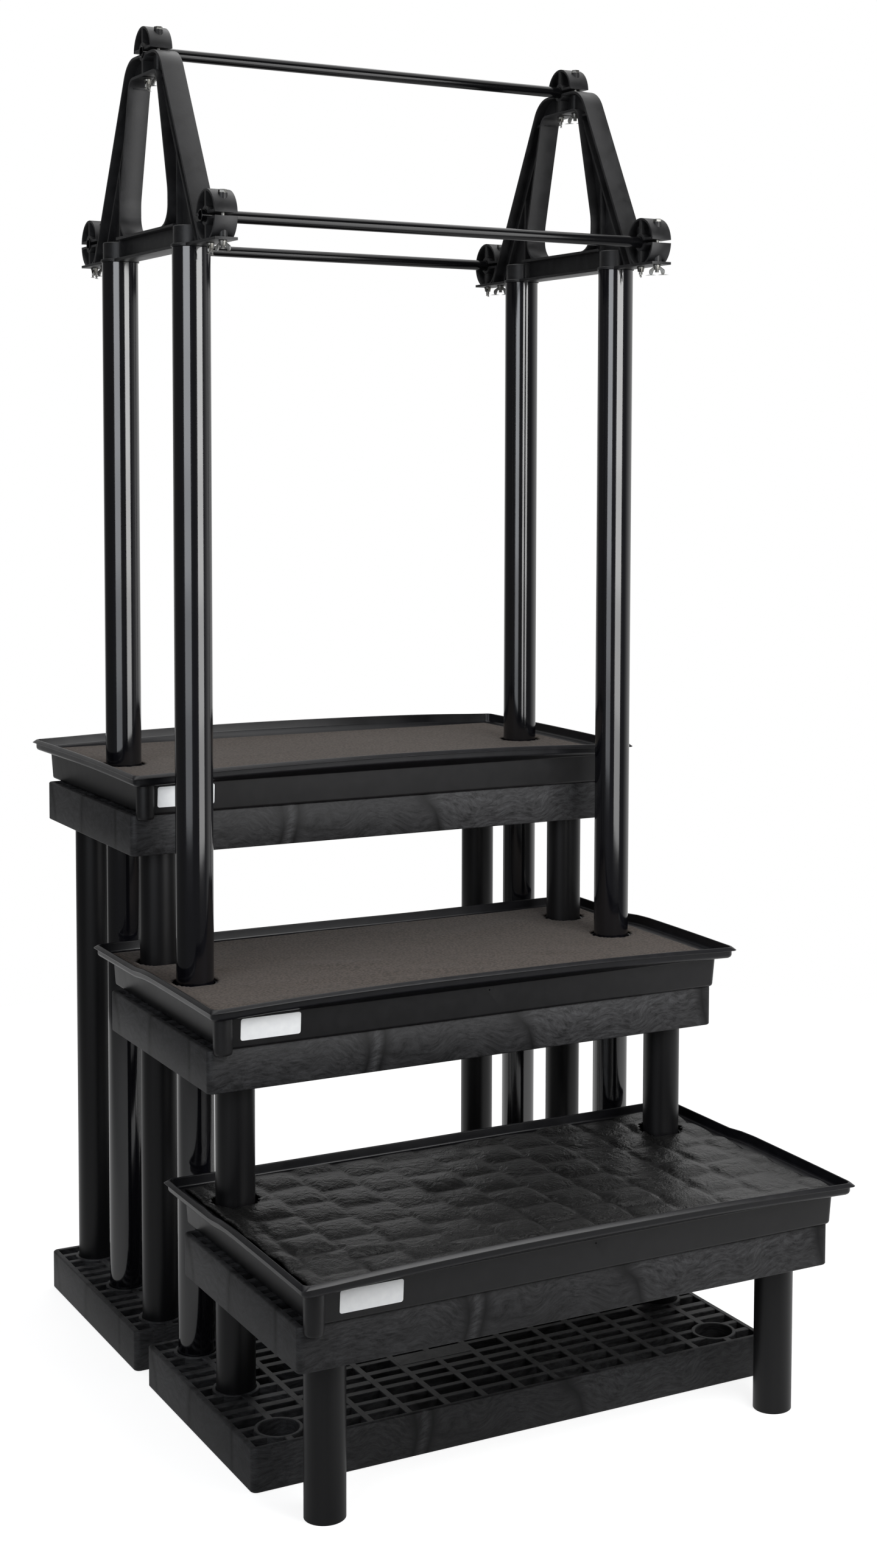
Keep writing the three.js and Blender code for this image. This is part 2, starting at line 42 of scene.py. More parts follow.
# The solids' sizes, but for TRAY_X and WALL_CORNER: trays a little longer and squarer, as in the photo
DECK_LENGTH = 1.2192
DECK_DEPTH = 0.6096
DECK_HEIGHT = 0.090
PITCH = 0.2286
COLUMN_X = 0.5226
DECK_SHIFT = Vector((-0.0145, -0.0225, 0.0))
STOP_LOW = 0.042
STOP_HIGH = 0.048
GAP = 0.0003
LEG_RADIUS = 0.0412
UPRIGHT_RADIUS = 0.0405
PIPE_WALL = 0.004
TIER_HEIGHT = {"lower": 0.322, "middle": 0.740, "top": 1.157}
TRAY_X = 0.5971
TRAY_Y = 0.3343
WALL_CORNER = 0.012
BAND_CORNER = 0.015
LIP_CORNER = 0.009
SHOULDER = 0.066
TRAY_WALL = 0.003
RAISED_FLOOR = SHOULDER + TRAY_WALL
ROD_HEIGHT = 2.525
TOP_ROD_RISE = 0.386
CLAMP_OFFSET = 0.375
BRACKET_WIDTH = 0.050
FOOT = 0.052
SPLIT = 0.0035
BOLTS = {"a": -0.035, "b": 0.035}
CLAMP_RADIUS = 0.055
ROD_RADIUS = 0.0127
FLANGE = 0.006

SIDES = {"left": -COLUMN_X, "right": COLUMN_X}
# For each tray its row, its deck, and the rows, counted from its own, of the pipes that pass through it
TIERS = {"bottom": (-2, "lower", [1]), "middle": (0, "middle", [0, 1]), "top": (2, "top", [0])}


# Camera

PHOTO_WIDTH = 1440
PHOTO_HEIGHT = 2576
FOCAL_LENGTH = 3731.8
CENTRE_ACROSS = 931.7
CENTRE_DOWN = 1011.87
SENSOR = 36
CAMERA_PLACE = (-2.2579, -4.6100, 2.0313)
CAMERA_ANGLES = (-29.934, -3.943, 0.347)


def in_scene(name, data):
    thing = bpy.data.objects.new(name, data)
    bpy.context.scene.collection.objects.link(thing)
    return thing


def aim_camera():
    """The photo's own camera; its focal length and centre are in pixels."""
    data = bpy.data.cameras.new("camera")
    data.sensor_width = SENSOR
    data.lens = FOCAL_LENGTH / PHOTO_HEIGHT * SENSOR
    data.shift_x = (PHOTO_WIDTH / 2 - CENTRE_ACROSS) / PHOTO_HEIGHT
    data.shift_y = (CENTRE_DOWN - PHOTO_HEIGHT / 2) / PHOTO_HEIGHT
    data.clip_end = 60
    yaw, pitch, roll = (math.radians(angle) for angle in CAMERA_ANGLES)
    ahead = Vector((-math.sin(yaw) * math.cos(pitch), math.cos(yaw) * math.cos(pitch), math.sin(pitch)))
    right = ahead.cross(Vector((0, 0, 1))).normalized()
    up = right.cross(ahead)
    turned_right = math.cos(roll) * right + math.sin(roll) * up
    turned_up = math.cos(roll) * up - math.sin(roll) * right
    camera = in_scene("camera", data)
    camera.matrix_world = Matrix((turned_right, turned_up, -ahead)).transposed().to_4x4()
    camera.location = CAMERA_PLACE
    bpy.context.scene.camera = camera


aim_camera()


# Mesh building

SMALLEST_RADIUS = 0.0005
SMOOTH_ANGLE = 35


def rounded(corners, steps=6):
    """Points of a closed outline whose corners (a, b, radius) are rounded."""
    points = []
    count = len(corners)
    for index, (a, b, radius) in enumerate(corners):
        corner = Vector((a, b))
        if radius <= 0:
            points.append((a, b))
            continue
        back = (Vector(corners[index - 1][:2]) - corner).normalized()
        ahead = (Vector(corners[(index + 1) % count][:2]) - corner).normalized()
        half_angle = back.angle(ahead) / 2
        reach = radius / math.tan(half_angle)
        centre = corner + (back + ahead).normalized() * radius / math.sin(half_angle)
        start = corner + back * reach - centre
        end = corner + ahead * reach - centre
        turn = math.atan2(start.x * end.y - start.y * end.x, start.dot(end))
        for step in range(steps + 1):
            angle = turn * step / steps
            cos, sin = math.cos(angle), math.sin(angle)
            points.append((
                centre.x + start.x * cos - start.y * sin,
                centre.y + start.x * sin + start.y * cos,
            ))
    return points


def rectangle(half_a, half_b, radius):
    """Corners (a, b, radius) of a centred rectangle, anticlockwise."""
    return [(a * half_a, b * half_b, radius) for a, b in ((-1, -1), (1, -1), (1, 1), (-1, 1))]


def inset(corners, wall):
    """The corners of an anticlockwise outline, each pushed inwards."""
    pushed = []
    count = len(corners)
    for index, (a, b, radius) in enumerate(corners):
        before = corners[index - 1]
        after = corners[(index + 1) % count]
        first = Vector((before[1] - b, a - before[0])).normalized()
        second = Vector((b - after[1], after[0] - a)).normalized()
        move = (first + second) * wall / (1 + first.dot(second))
        pushed.append((a + move.x, b + move.y, max(radius - wall, SMALLEST_RADIUS)))
    return pushed


def loft(rings, closed=False):
    """Skin over rings of equally many points, capped at both ends unless it closes on itself."""
    count = len(rings[0])
    verts = [tuple(point) for ring in rings for point in ring]
    faces = []
    spans = len(rings) if closed else len(rings) - 1
    for ring in range(spans):
        low = ring * count
        high = (ring + 1) % len(rings) * count
        for i in range(count):
            j = (i + 1) % count
            faces.append((low + i, low + j, high + j, high + i))
    if not closed:
        faces.append(tuple(reversed(range(count))))
        faces.append(tuple(range((len(rings) - 1) * count, len(rings) * count)))
    return verts, faces


def turned(profile, sides=64, closed=True, centre=(0, 0)):
    """A profile of (radius, height) turned round an upright axis."""
    x, y = centre
    angles = [2 * math.pi * i / sides for i in range(sides)]
    return loft([
        [(x + radius * math.cos(t), y + radius * math.sin(t), height) for t in angles]
        for radius, height in profile
    ], closed)


def tube(outer, inner, low, high, sides=64, edge=0.0006, centre=(0, 0)):
    profile = [
        (outer, low + edge), (outer, high - edge), (outer - edge, high), (inner + edge, high),
        (inner, high - edge), (inner, low + edge), (inner + edge, low), (outer - edge, low),
    ]
    return turned(profile, sides, True, centre)


def bar(x0, x1, y0, y1, z0, z1, edge=0.0012):
    """A block with rounded edges along its top and bottom."""
    corners = [(x0, y0), (x1, y0), (x1, y1), (x0, y1)]
    centre_x, centre_y = (x0 + x1) / 2, (y0 + y1) / 2

    def ring(shrink, z):
        return [(
            x + math.copysign(shrink, centre_x - x),
            y + math.copysign(shrink, centre_y - y),
            z,
        ) for x, y in corners]

    return loft([ring(edge, z0), ring(0, z0 + edge), ring(0, z1 - edge), ring(edge, z1)])


def extruded(loops, width, edge=0.0008):
    """Flat outlines, of which the first may hold the others as holes, given a width and soft edges."""
    curve = bpy.data.curves.new("outline", "CURVE")
    curve.dimensions = "2D"
    curve.fill_mode = "BOTH"
    curve.extrude = width / 2 - edge
    curve.bevel_depth = edge
    curve.bevel_resolution = 1
    curve.offset = -edge
    for loop in loops:
        spline = curve.splines.new("POLY")
        spline.points.add(len(loop) - 1)
        for point, (a, b) in zip(spline.points, loop):
            point.co = (a, b, 0, 1)
        spline.use_cyclic_u = True
    holder = bpy.data.objects.new("outline", curve)
    mesh = bpy.data.meshes.new_from_object(holder)
    verts = [tuple(v.co) for v in mesh.vertices]
    faces = [tuple(p.vertices) for p in mesh.polygons]
    bpy.data.objects.remove(holder)
    bpy.data.curves.remove(curve)
    bpy.data.meshes.remove(mesh)
    return verts, faces


def moved(part, matrix):
    verts, faces = part
    return [tuple(matrix @ Vector(v)) for v in verts], faces


# Turns that lay an upright axis along X, and along Y
SIDEWAYS = Matrix(((0, 0, 1, 0), (1, 0, 0, 0), (0, 1, 0, 0), (0, 0, 0, 1)))
LENGTHWAYS = Matrix(((1, 0, 0, 0), (0, 0, 1, 0), (0, -1, 0, 0), (0, 0, 0, 1)))


def across(loops, width, edge=0.0008):
    """An outline in the upright plane that faces sideways, given a width along X."""
    return moved(extruded(loops, width, edge), SIDEWAYS)


def shifted(part, x=0.0, y=0.0, z=0.0):
    return moved(part, Matrix.Translation((x, y, z)))


def joined(parts):
    verts, faces = [], []
    for part_verts, part_faces in parts:
        base = len(verts)
        verts.extend(part_verts)
        faces.extend(tuple(base + i for i in face) for face in part_faces)
    return verts, faces


def shaded(mesh, angle=SMOOTH_ANGLE):
    mesh.shade_smooth()
    mesh.set_sharp_from_angle(angle=math.radians(angle))
    return mesh


def mesh_of(name, part, angle=SMOOTH_ANGLE):
    mesh = bpy.data.meshes.new(name)
    mesh.from_pydata(part[0], [], part[1])
    mesh.validate()
    return shaded(mesh, angle)


def stand_piece(name, mesh, body, material, nodes=(), place=(0, 0, 0), turn=0.0):
    piece = in_scene(name, mesh)
    piece.location = place
    piece.rotation_euler = (0, 0, turn)
    if not mesh.materials:
        mesh.materials.append(material)
    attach(piece, body)
    if nodes:
        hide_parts(*nodes)
    return piece


def cut(piece, part):
    """Cuts a closed part out of a piece's mesh and shades it anew."""
    cutter_mesh = mesh_of("cutter", part)
    cutter = in_scene("cutter", cutter_mesh)
    cutter.matrix_world = piece.matrix_world
    modifier = piece.modifiers.new("cut", "BOOLEAN")
    modifier.operation = "DIFFERENCE"
    modifier.solver = "EXACT"
    modifier.object = cutter
    bpy.context.view_layer.update()
    result = bpy.data.meshes.new_from_object(piece.evaluated_get(bpy.context.evaluated_depsgraph_get()))
    piece.modifiers.clear()
    piece.data = shaded(result)
    bpy.data.objects.remove(cutter)
    bpy.data.meshes.remove(cutter_mesh)


# Materials

def set_inputs(node, levels):
    for name, level in levels.items():
        node.inputs[name].default_value = level


def combined(nodes, links, operation, first, second):
    node = nodes.new("ShaderNodeMath")
    node.operation = operation
    links.new(first, node.inputs[0])
    links.new(second, node.inputs[1])
    return node.outputs[0]


def ranged(nodes, links, value, start, end, low, high, kind="LINEAR"):
    """Goes from low to high while the value goes from start to end."""
    node = nodes.new("ShaderNodeMapRange")
    node.interpolation_type = kind
    set_inputs(node, {"From Min": start, "From Max": end, "To Min": low, "To Max": high})
    links.new(value, node.inputs["Value"])
    return node.outputs["Result"]


class Surface:
    """A node material; its helpers return sockets that can be chained."""

    def __init__(self, name, roughness=0.5, specular=0.5, metallic=0.0):
        self.material = bpy.data.materials.new(name)
        self.material.use_nodes = True
        self.nodes = self.material.node_tree.nodes
        self.links = self.material.node_tree.links
        self.shader = self.nodes["Principled BSDF"]
        levels = {"Roughness": roughness, "Specular IOR Level": specular, "Metallic": metallic}
        set_inputs(self.shader, levels)
        self.place = self.nodes.new("ShaderNodeTexCoord").outputs["Object"]

    def pattern(self, kind, place=None, **levels):
        """A node laid on places of the piece, with its named inputs set."""
        node = self.nodes.new(kind)
        set_inputs(node, levels)
        self.links.new(place or self.place, node.inputs["Vector"])
        return node

    def stretched(self, x, y, z, place=None):
        return self.pattern("ShaderNodeMapping", place, Scale=(x, y, z)).outputs["Vector"]

    def drifted(self, scale, amount):
        """Places shifted to and fro by a slow noise, which bends any pattern laid on them."""
        slow = self.pattern("ShaderNodeTexNoise", Scale=scale, Detail=2.0)
        node = self.nodes.new("ShaderNodeVectorMath")
        node.operation = "MULTIPLY_ADD"
        self.links.new(slow.outputs["Color"], node.inputs[0])
        node.inputs[1].default_value = (amount, amount, amount)
        self.links.new(self.place, node.inputs[2])
        return node.outputs["Vector"]

    def height(self, low, high):
        """0 below one height of the piece and 1 above another."""
        split = self.nodes.new("ShaderNodeSeparateXYZ")
        self.links.new(self.place, split.inputs[0])
        return ranged(self.nodes, self.links, split.outputs["Z"], low, high, 0, 1)

    def tones(self, scale, place=None):
        """A random tone for each cell."""
        return self.pattern("ShaderNodeTexVoronoi", place, Scale=scale).outputs["Color"]

    def combined(self, operation, first, second):
        return combined(self.nodes, self.links, operation, first, second)

    def noise(self, scale, detail=4.0, distortion=0.0, place=None, roughness=0.5):
        levels = {"Scale": scale, "Detail": detail, "Distortion": distortion, "Roughness": roughness}
        return self.pattern("ShaderNodeTexNoise", place, **levels).outputs["Fac"]

    def cells(self, scale, place=None, feature="F1"):
        node = self.pattern("ShaderNodeTexVoronoi", place, Scale=scale)
        node.feature = feature
        return node.outputs["Distance"]

    def ramp(self, value, *stops):
        """Stops of (position, colour), where one number stands for a grey."""
        node = self.nodes.new("ShaderNodeValToRGB")
        elements = node.color_ramp.elements
        while len(elements) < len(stops):
            elements.new(0.5)
        for element, (position, colour) in zip(elements, stops):
            element.position = position
            element.color = (*colour, 1) if isinstance(colour, tuple) else (colour, colour, colour, 1)
        self.links.new(value, node.inputs["Fac"])
        return node.outputs["Color"]

    def mix(self, factor, first, second):
        node = self.nodes.new("ShaderNodeMix")
        node.data_type = "RGBA"
        self.links.new(factor, node.inputs[0])
        self.links.new(first, node.inputs[6])
        self.links.new(second, node.inputs[7])
        return node.outputs[2]

    def scaled(self, value, low, high):
        return ranged(self.nodes, self.links, value, 0, 1, low, high)

    def colour(self, value):
        self.links.new(value, self.shader.inputs["Base Color"])

    def rough(self, value, low, high):
        self.links.new(self.scaled(value, low, high), self.shader.inputs["Roughness"])

    def bumped(self, *layers):
        """The finished material, with layers of (height, strength, depth in metres)."""
        normal = None
        for height, strength, depth in layers:
            node = self.nodes.new("ShaderNodeBump")
            set_inputs(node, {"Strength": strength, "Distance": depth})
            self.links.new(height, node.inputs["Height"])
            if normal:
                self.links.new(normal, node.inputs["Normal"])
            normal = node.outputs["Normal"]
        self.links.new(normal, self.shader.inputs["Normal"])
        return self.material


PANE_SCALE = 2.3


def deck_plastic():
    """Foamed plastic: flow marks like brushed hair, in patches that meet at weld lines."""
    surface = Surface("deck_plastic", specular=0.28)
    bent = surface.drifted(5.0, 0.16)
    fibre = surface.noise(1.0, 8, 0.4, surface.stretched(34, 34, 150, bent), 0.78)
    swirl = surface.noise(6, 6, 1.2, roughness=0.66)
    panes = surface.drifted(3.0, 0.22)
    patch = surface.tones(PANE_SCALE, panes)
    weld = surface.cells(PANE_SCALE, panes, "DISTANCE_TO_EDGE")
    grain = surface.noise(420, 3)
    swirled = surface.scaled(swirl, 0.35, 1.3)
    patched = surface.scaled(patch, 0.45, 1.35)
    sheet = surface.combined("MULTIPLY", swirled, patched)
    dull = surface.ramp(fibre, (0.34, (0.0040, 0.0040, 0.0045)), (0.66, (0.0150, 0.0150, 0.0160)))
    bright = surface.ramp(fibre, (0.38, (0.0100, 0.0100, 0.0105)), (0.62, (0.066, 0.066, 0.069)))
    flowing = surface.mix(surface.scaled(sheet, -0.15, 0.95), dull, bright)
    seam = surface.ramp(weld, (0.0, (0.0040, 0.0040, 0.0045)), (0.05, (0.012, 0.012, 0.013)))
    surface.colour(surface.mix(surface.ramp(weld, (0.0, 0.0), (0.035, 1.0)), seam, flowing))
    surface.rough(fibre, 0.40, 0.74)
    return surface.bumped((swirl, 0.2, 0.003), (fibre, 0.35, 0.0012), (grain, 0.25, 0.0004))


def leg_plastic():
    surface = Surface("leg_plastic", specular=0.30)
    drawn = surface.noise(60, 3, 0.3, surface.stretched(1, 1, 0.02))
    surface.colour(surface.ramp(drawn, (0.3, (0.0035, 0.0035, 0.0040)), (0.8, (0.0075, 0.0073, 0.0080))))
    surface.rough(drawn, 0.30, 0.42)
    return surface.bumped((drawn, 0.08, 0.001), (surface.noise(500, 2), 0.1, 0.0002))


def gloss_plastic():
    surface = Surface("gloss_plastic", specular=0.95)
    drawn = surface.noise(70, 3, 0.2, surface.stretched(1, 1, 0.015))
    smear = surface.noise(9, 4, 0.6)
    surface.colour(surface.ramp(drawn, (0.3, (0.0022, 0.0022, 0.0030)), (0.8, (0.0045, 0.0045, 0.0065))))
    surface.rough(smear, 0.06, 0.15)
    return surface.bumped((drawn, 0.08, 0.0006), (smear, 0.03, 0.002))


def tray_plastic():
    """Thermoformed sheet: matt on the wall, glossy where it was drawn thin over the band and lip, which are
    also painted darker as painted shade.
    """
    surface = Surface("tray_plastic", specular=0.40)
    sag = surface.noise(7, 3, 0.4)
    scuff = surface.noise(32, 5, 0.8)
    # Mask of the band and lip: it sets their gloss and their painted shade
    band = surface.height(0.063, 0.069)
    wall_tone = surface.ramp(scuff, (0.3, (0.0040, 0.0039, 0.0044)), (0.85, (0.0088, 0.0085, 0.0094)))
    # The band and lip are painted darker and bluer than the wall: painted shade
    band_painted_shade = surface.ramp(scuff, (0.3, (0.0025, 0.0025, 0.0035)), (0.85, (0.0060, 0.0060, 0.0080)))
    surface.colour(surface.mix(band, wall_tone, band_painted_shade))
    sheen_and_wear = surface.combined("ADD", surface.scaled(band, 0.38, 0.28), surface.scaled(scuff, 0.02, 0.10))
    surface.links.new(sheen_and_wear, surface.shader.inputs["Roughness"])
    return surface.bumped((sag, 0.25, 0.004), (surface.noise(600, 2), 0.04, 0.0002))


def felt():
    """Brown fibres in small tufts, with slow stains."""
    surface = Surface("felt", roughness=0.95, specular=0.08)
    tuft = surface.cells(170)
    fibre = surface.noise(900, 4, 0.5)
    stain = surface.noise(8, 4, 0.5)
    light = surface.ramp(tuft, (0.0, (0.150, 0.121, 0.103)), (0.75, (0.036, 0.029, 0.025)))
    dark = surface.ramp(fibre, (0.3, (0.031, 0.026, 0.022)), (0.8, (0.112, 0.092, 0.079)))
    surface.colour(surface.mix(surface.scaled(stain, 0.2, 0.8), light, dark))
    set_inputs(surface.shader, {"Sheen Weight": 0.06, "Sheen Roughness": 0.5})
    return surface.bumped((tuft, 0.6, 0.0014), (fibre, 0.4, 0.0006))


def quilt():
    """Black woven plastic, crinkled, with paler patches of bright specks that are painted sheen."""
    surface = Surface("quilt", specular=0.35)
    pebble = surface.cells(230)
    speck = surface.noise(330, 3, 0.4, roughness=0.7)
    # Slow mask of the patches of painted sheen
    sheen_and_wear = surface.noise(14, 5, 0.6)
    crinkle = surface.noise(32, 6, 1.5)
    dull = surface.ramp(speck, (0.42, 0.0008), (0.70, 0.0040))
    # Paler colour with bright specks, mixed in by patches: painted sheen
    painted_sheen = surface.ramp(speck, (0.42, 0.0012), (0.60, (0.0200, 0.0196, 0.0190)))
    surface.colour(surface.mix(surface.scaled(sheen_and_wear, 0.0, 0.9), dull, painted_sheen))
    surface.rough(speck, 0.22, 0.50)
    return surface.bumped((crinkle, 0.65, 0.0065), (pebble, 0.45, 0.0013), (speck, 0.45, 0.0008))


def bracket_plastic():
    surface = Surface("bracket_plastic", specular=0.35)
    flow = surface.noise(16, 6, 1.4)
    grain = surface.noise(260, 4)
    surface.colour(surface.ramp(flow, (0.35, (0.0060, 0.0060, 0.0065)), (0.75, (0.017, 0.017, 0.018))))
    surface.rough(flow, 0.34, 0.56)
    return surface.bumped((flow, 0.15, 0.002), (grain, 0.3, 0.0005))


def rod_coat():
    surface = Surface("rod_coat", specular=0.25)
    drawn = surface.noise(80, 3, 0.2, surface.stretched(0.02, 1, 1))
    surface.colour(surface.ramp(drawn, (0.3, (0.0018, 0.0018, 0.0022)), (0.8, (0.0036, 0.0036, 0.0040))))
    surface.rough(drawn, 0.08, 0.15)
    return surface.bumped((drawn, 0.06, 0.0005))


def zinc():
    surface = Surface("zinc", metallic=1.0)
    crystal = surface.cells(350)
    wear = surface.noise(120, 4, 0.4)
    surface.colour(surface.ramp(wear, (0.35, (0.15, 0.145, 0.13)), (0.65, (0.27, 0.27, 0.26))))
    surface.rough(wear, 0.30, 0.50)
    return surface.bumped((crystal, 0.1, 0.0003))


def label_paper():
    surface = Surface("label_paper", specular=0.4)
    tone = surface.noise(60, 3)
    surface.colour(surface.ramp(tone, (0.3, (0.80, 0.81, 0.82)), (0.7, (0.86, 0.87, 0.87))))
    surface.rough(tone, 0.3, 0.42)
    return surface.bumped((surface.noise(35, 2), 0.1, 0.0006))


DECK = deck_plastic()
LEG = leg_plastic()
GLOSS = gloss_plastic()
TRAY = tray_plastic()
FELT = felt()
QUILT = quilt()
BRACKET = bracket_plastic()
ROD = rod_coat()
ZINC = zinc()
LABEL = label_paper()


# Decks

COLUMNS = 14
COLUMN_RIB = 0.0158
# Middle and width of each row of slots, from the deck's middle line outwards
SLOT_ROWS = (
    (0.0, 0.0318), (0.048, 0.0343), (0.094, 0.0203), (0.1346, 0.0203), (0.1803, 0.035),
    (0.2286, 0.031), (0.2756, 0.0305),
)
SKIRT = 0.0127
SKIRT_CORNER = 0.014
RIB_BITE = 0.006
SOCKET_BORE = 0.0417
SOCKET_OUTER = 0.0500
SOCKET_BITE = 0.004
SOCKET_SIDES = 72
STOP_RADIUS = SOCKET_BORE + 0.002
# Foot and top of what stands inside the skirt, each a little short of it, so that no faces share a plane
COLUMN_ENDS = (0.0003, DECK_HEIGHT - 0.0005)
ROW_ENDS = (0.0006, DECK_HEIGHT - 0.0008)
SOCKET_ENDS = (0.0001, DECK_HEIGHT - 0.0002)
PLATE_X = (-0.176, -0.002)
PLATE_Y = (-0.070, -0.026)
PLATE_Z = (0.070, DECK_HEIGHT - 0.0003)


def skirt_part():
    edge = 0.0025
    small = 0.001
    profile = [
        (0, edge), (0, DECK_HEIGHT - edge), (-small, DECK_HEIGHT - small), (-edge, DECK_HEIGHT),
        (small - SKIRT, DECK_HEIGHT), (-SKIRT, DECK_HEIGHT - small), (-SKIRT, small), (small - SKIRT, 0),
        (-edge, 0), (-small, small),
    ]
    rings = []
    for out, z in profile:
        outline = rectangle(DECK_LENGTH / 2 + out, DECK_DEPTH / 2 + out, SKIRT_CORNER + out)
        rings.append([(x, y, z) for x, y in rounded(outline)])
    return loft(rings, closed=True)


def rib_spans(fixed, low, high, blocked):
    """The parts of a rib at one coordinate that run clear of the socket bores."""
    spans = [(low, high)]
    for centre_fixed, centre_run in blocked:
        away = abs(fixed - centre_fixed)
        reach = SOCKET_OUTER - SOCKET_BITE
        if away >= reach:
            continue
        half = math.sqrt(reach * reach - away * away)
        cleared = []
        for start, end in spans:
            if centre_run - half > start:
                cleared.append((start, min(end, centre_run - half)))
            if centre_run + half < end:
                cleared.append((max(start, centre_run + half), end))
        spans = cleared
    return spans


def rib_parts(sockets):
    """The ribs between the slots: one for each column line, and a pair for each row line."""
    half_x, half_y = DECK_LENGTH / 2 - RIB_BITE, DECK_DEPTH / 2 - RIB_BITE
    parts = []
    column_pitch = DECK_LENGTH / COLUMNS
    for index in range(1, COLUMNS):
        x = index * column_pitch - DECK_LENGTH / 2
        for start, end in rib_spans(x, -half_y, half_y, sockets):
            parts.append(bar(x - COLUMN_RIB / 2, x + COLUMN_RIB / 2, start, end, *COLUMN_ENDS))
    turned_sockets = [(y, x) for x, y in sockets]
    for (near, near_width), (far, far_width) in zip(SLOT_ROWS, SLOT_ROWS[1:]):
        low = near + near_width / 2
        high = far - far_width / 2
        half = (high - low) / 2
        for side in (-1, 1):
            y = side * (low + high) / 2
            for start, end in rib_spans(y, -half_x, half_x, turned_sockets):
                parts.append(bar(start, end, y - half, y + half, *ROW_ENDS))
    return parts


def deck_part():
    """A skirt, ribs, a plate, and six sockets, of which the corner ones have a stop inside."""
    sockets = [(x, row * PITCH) for x in SIDES.values() for row in (-1, 0, 1)]
    parts = [skirt_part(), *rib_parts(sockets)]
    for x, y in sockets:
        parts.append(tube(SOCKET_OUTER, SOCKET_BORE, *SOCKET_ENDS, SOCKET_SIDES, 0.0015, (x, y)))
        if y:
            stop = [(STOP_RADIUS, STOP_LOW), (STOP_RADIUS, STOP_HIGH)]
            parts.append(turned(stop, SOCKET_SIDES, False, (x, y)))
    parts.append(bar(*PLATE_X, *PLATE_Y, *PLATE_Z, 0.002))
    return joined(parts)


def make_decks():
    mesh = mesh_of("deck", deck_part())
    rows = {"rear_base_deck": (2, 0.0), "front_base_deck": (-1, 0.0)}
    for name, (row, tier, _) in TIERS.items():
        node = "lower_deck" if name == "bottom" else f"{tier}_deck"
        rows[node] = (row, TIER_HEIGHT[tier])
    for node, (row, height) in rows.items():
        place = DECK_SHIFT + Vector((0, row * PITCH, height))
        stand_piece(f"{node}_look", mesh, "frame", DECK, [node], place)


make_decks()


# Pipes

PIPE_SIDES = 96
PIPE_EDGE = 0.0008


def make_pipes():
    floor = 0.0
    lower, middle, top = TIER_HEIGHT.values()
    on_stop = STOP_HIGH + GAP
    to_stop = STOP_LOW - GAP
    under_bracket = ROD_HEIGHT - FOOT - GAP
    runs = {
        "rear_leg": (3, on_stop, top + to_stop),
        "middle_lower_leg": (1, on_stop, middle + to_stop),
        "middle_upper_leg": (1, middle + on_stop, top + to_stop),
        "front_lower_leg": (-1, floor, lower + to_stop),
        "front_upper_leg": (-1, lower + on_stop, middle + to_stop),
        "floor_leg": (-3, floor, lower + to_stop),
        "rear_upright": (2, floor, under_bracket),
        "front_upright": (0, on_stop, under_bracket),
    }
    for name, (row, low, high) in runs.items():
        upright = name.endswith("upright")
        radius = UPRIGHT_RADIUS if upright else LEG_RADIUS
        mesh = mesh_of(name, tube(radius, radius - PIPE_WALL, low, high, PIPE_SIDES, PIPE_EDGE))
        for side, x in SIDES.items():
            place = DECK_SHIFT + Vector((x, row * PITCH, 0))
            material, slot = (GLOSS, "upright") if upright else (LEG, "leg")
            stand_piece(f"{side}_{name}_look", mesh, "frame", material, [f"{side}_{name}"], place)


make_pipes()


# Trays

WALL_LEAN = 0.0045
CORNER_STEPS = 8
LONG_CUTS = 24
SHORT_CUTS = 14
LIP_START = 0.036
BAND_START = 0.020
BAND_OUTSIDE = 0.0325
BAND_WIDTH = 0.0035
INNER_CORNER = 0.003
# How far the rim bows up along its long and short sides and at its corners, and how wavy it is
LONG_RISE = 0.0115
SHORT_RISE = 0.003
END_RISE = 0.0015
RIM_WAVE = 0.0014
RIM_START = -0.004
RIM_BLEND = 0.030
# Above what height the walls sag inwards, over what height, and how far
SAG_START = 0.02
SAG_BLEND = 0.07
END_SAG = 0.0012
SIDE_SAG = 0.0016
# From where, going back, the two lower rims keep low, so that they clear the deck above when lifted
COVER_START = 0.02
COVER_BLEND = 0.09
COVERED_DROP = 0.0026
# Out from the wall's foot, height and rounding: under the floor, up the wall, over the lip and back in
TRAY_PROFILE = rounded([
    (-0.046, SHOULDER, 0), (-0.037, 0.0, 0.003), (0.0, 0.0, 0.006), (WALL_LEAN, SHOULDER, 0.0025),
    (0.0330, SHOULDER, 0.008), (0.0334, 0.0862, 0.001), (0.0384, 0.0832, 0.0006),
    (0.0392, 0.0848, 0.0006), (0.0320, 0.0932, 0.0024), (0.0298, 0.0905, 0.0014),
    (0.0290, RAISED_FLOOR, 0.005), (0.002, RAISED_FLOOR, 0.003), (-0.0035, 0.003, 0.005),
    (-0.034, 0.003, 0.003), (-0.040, RAISED_FLOOR, 0),
], 4)


def unit(value):
    return min(max(value, 0.0), 1.0)


def corner_radius(offset):
    """Wider at the band than at the wall, and tightest at the lip's edge."""
    if offset > LIP_START:
        return LIP_CORNER
    if offset > BAND_START:
        return BAND_CORNER - TRAY_WALL * unit((BAND_OUTSIDE - offset) / BAND_WIDTH)
    return max(WALL_CORNER + min(offset, 0.0), INNER_CORNER)


def tray_ring(offset, z):
    """One level of a tray, with its straight sides cut up so that they can bow."""
    arcs = rounded(rectangle(TRAY_X + offset, TRAY_Y + offset, corner_radius(offset)), CORNER_STEPS)
    ring = []
    for index, (a, b) in enumerate(arcs):
        ring.append((a, b, z))
        corner, step_in_corner = divmod(index, CORNER_STEPS + 1)
        if step_in_corner == CORNER_STEPS:
            after = arcs[(index + 1) % len(arcs)]
            cuts = SHORT_CUTS if corner % 2 else LONG_CUTS
            for step in range(1, cuts):
                share = step / cuts
                ring.append((a + (after[0] - a) * share, b + (after[1] - b) * share, z))
    return ring


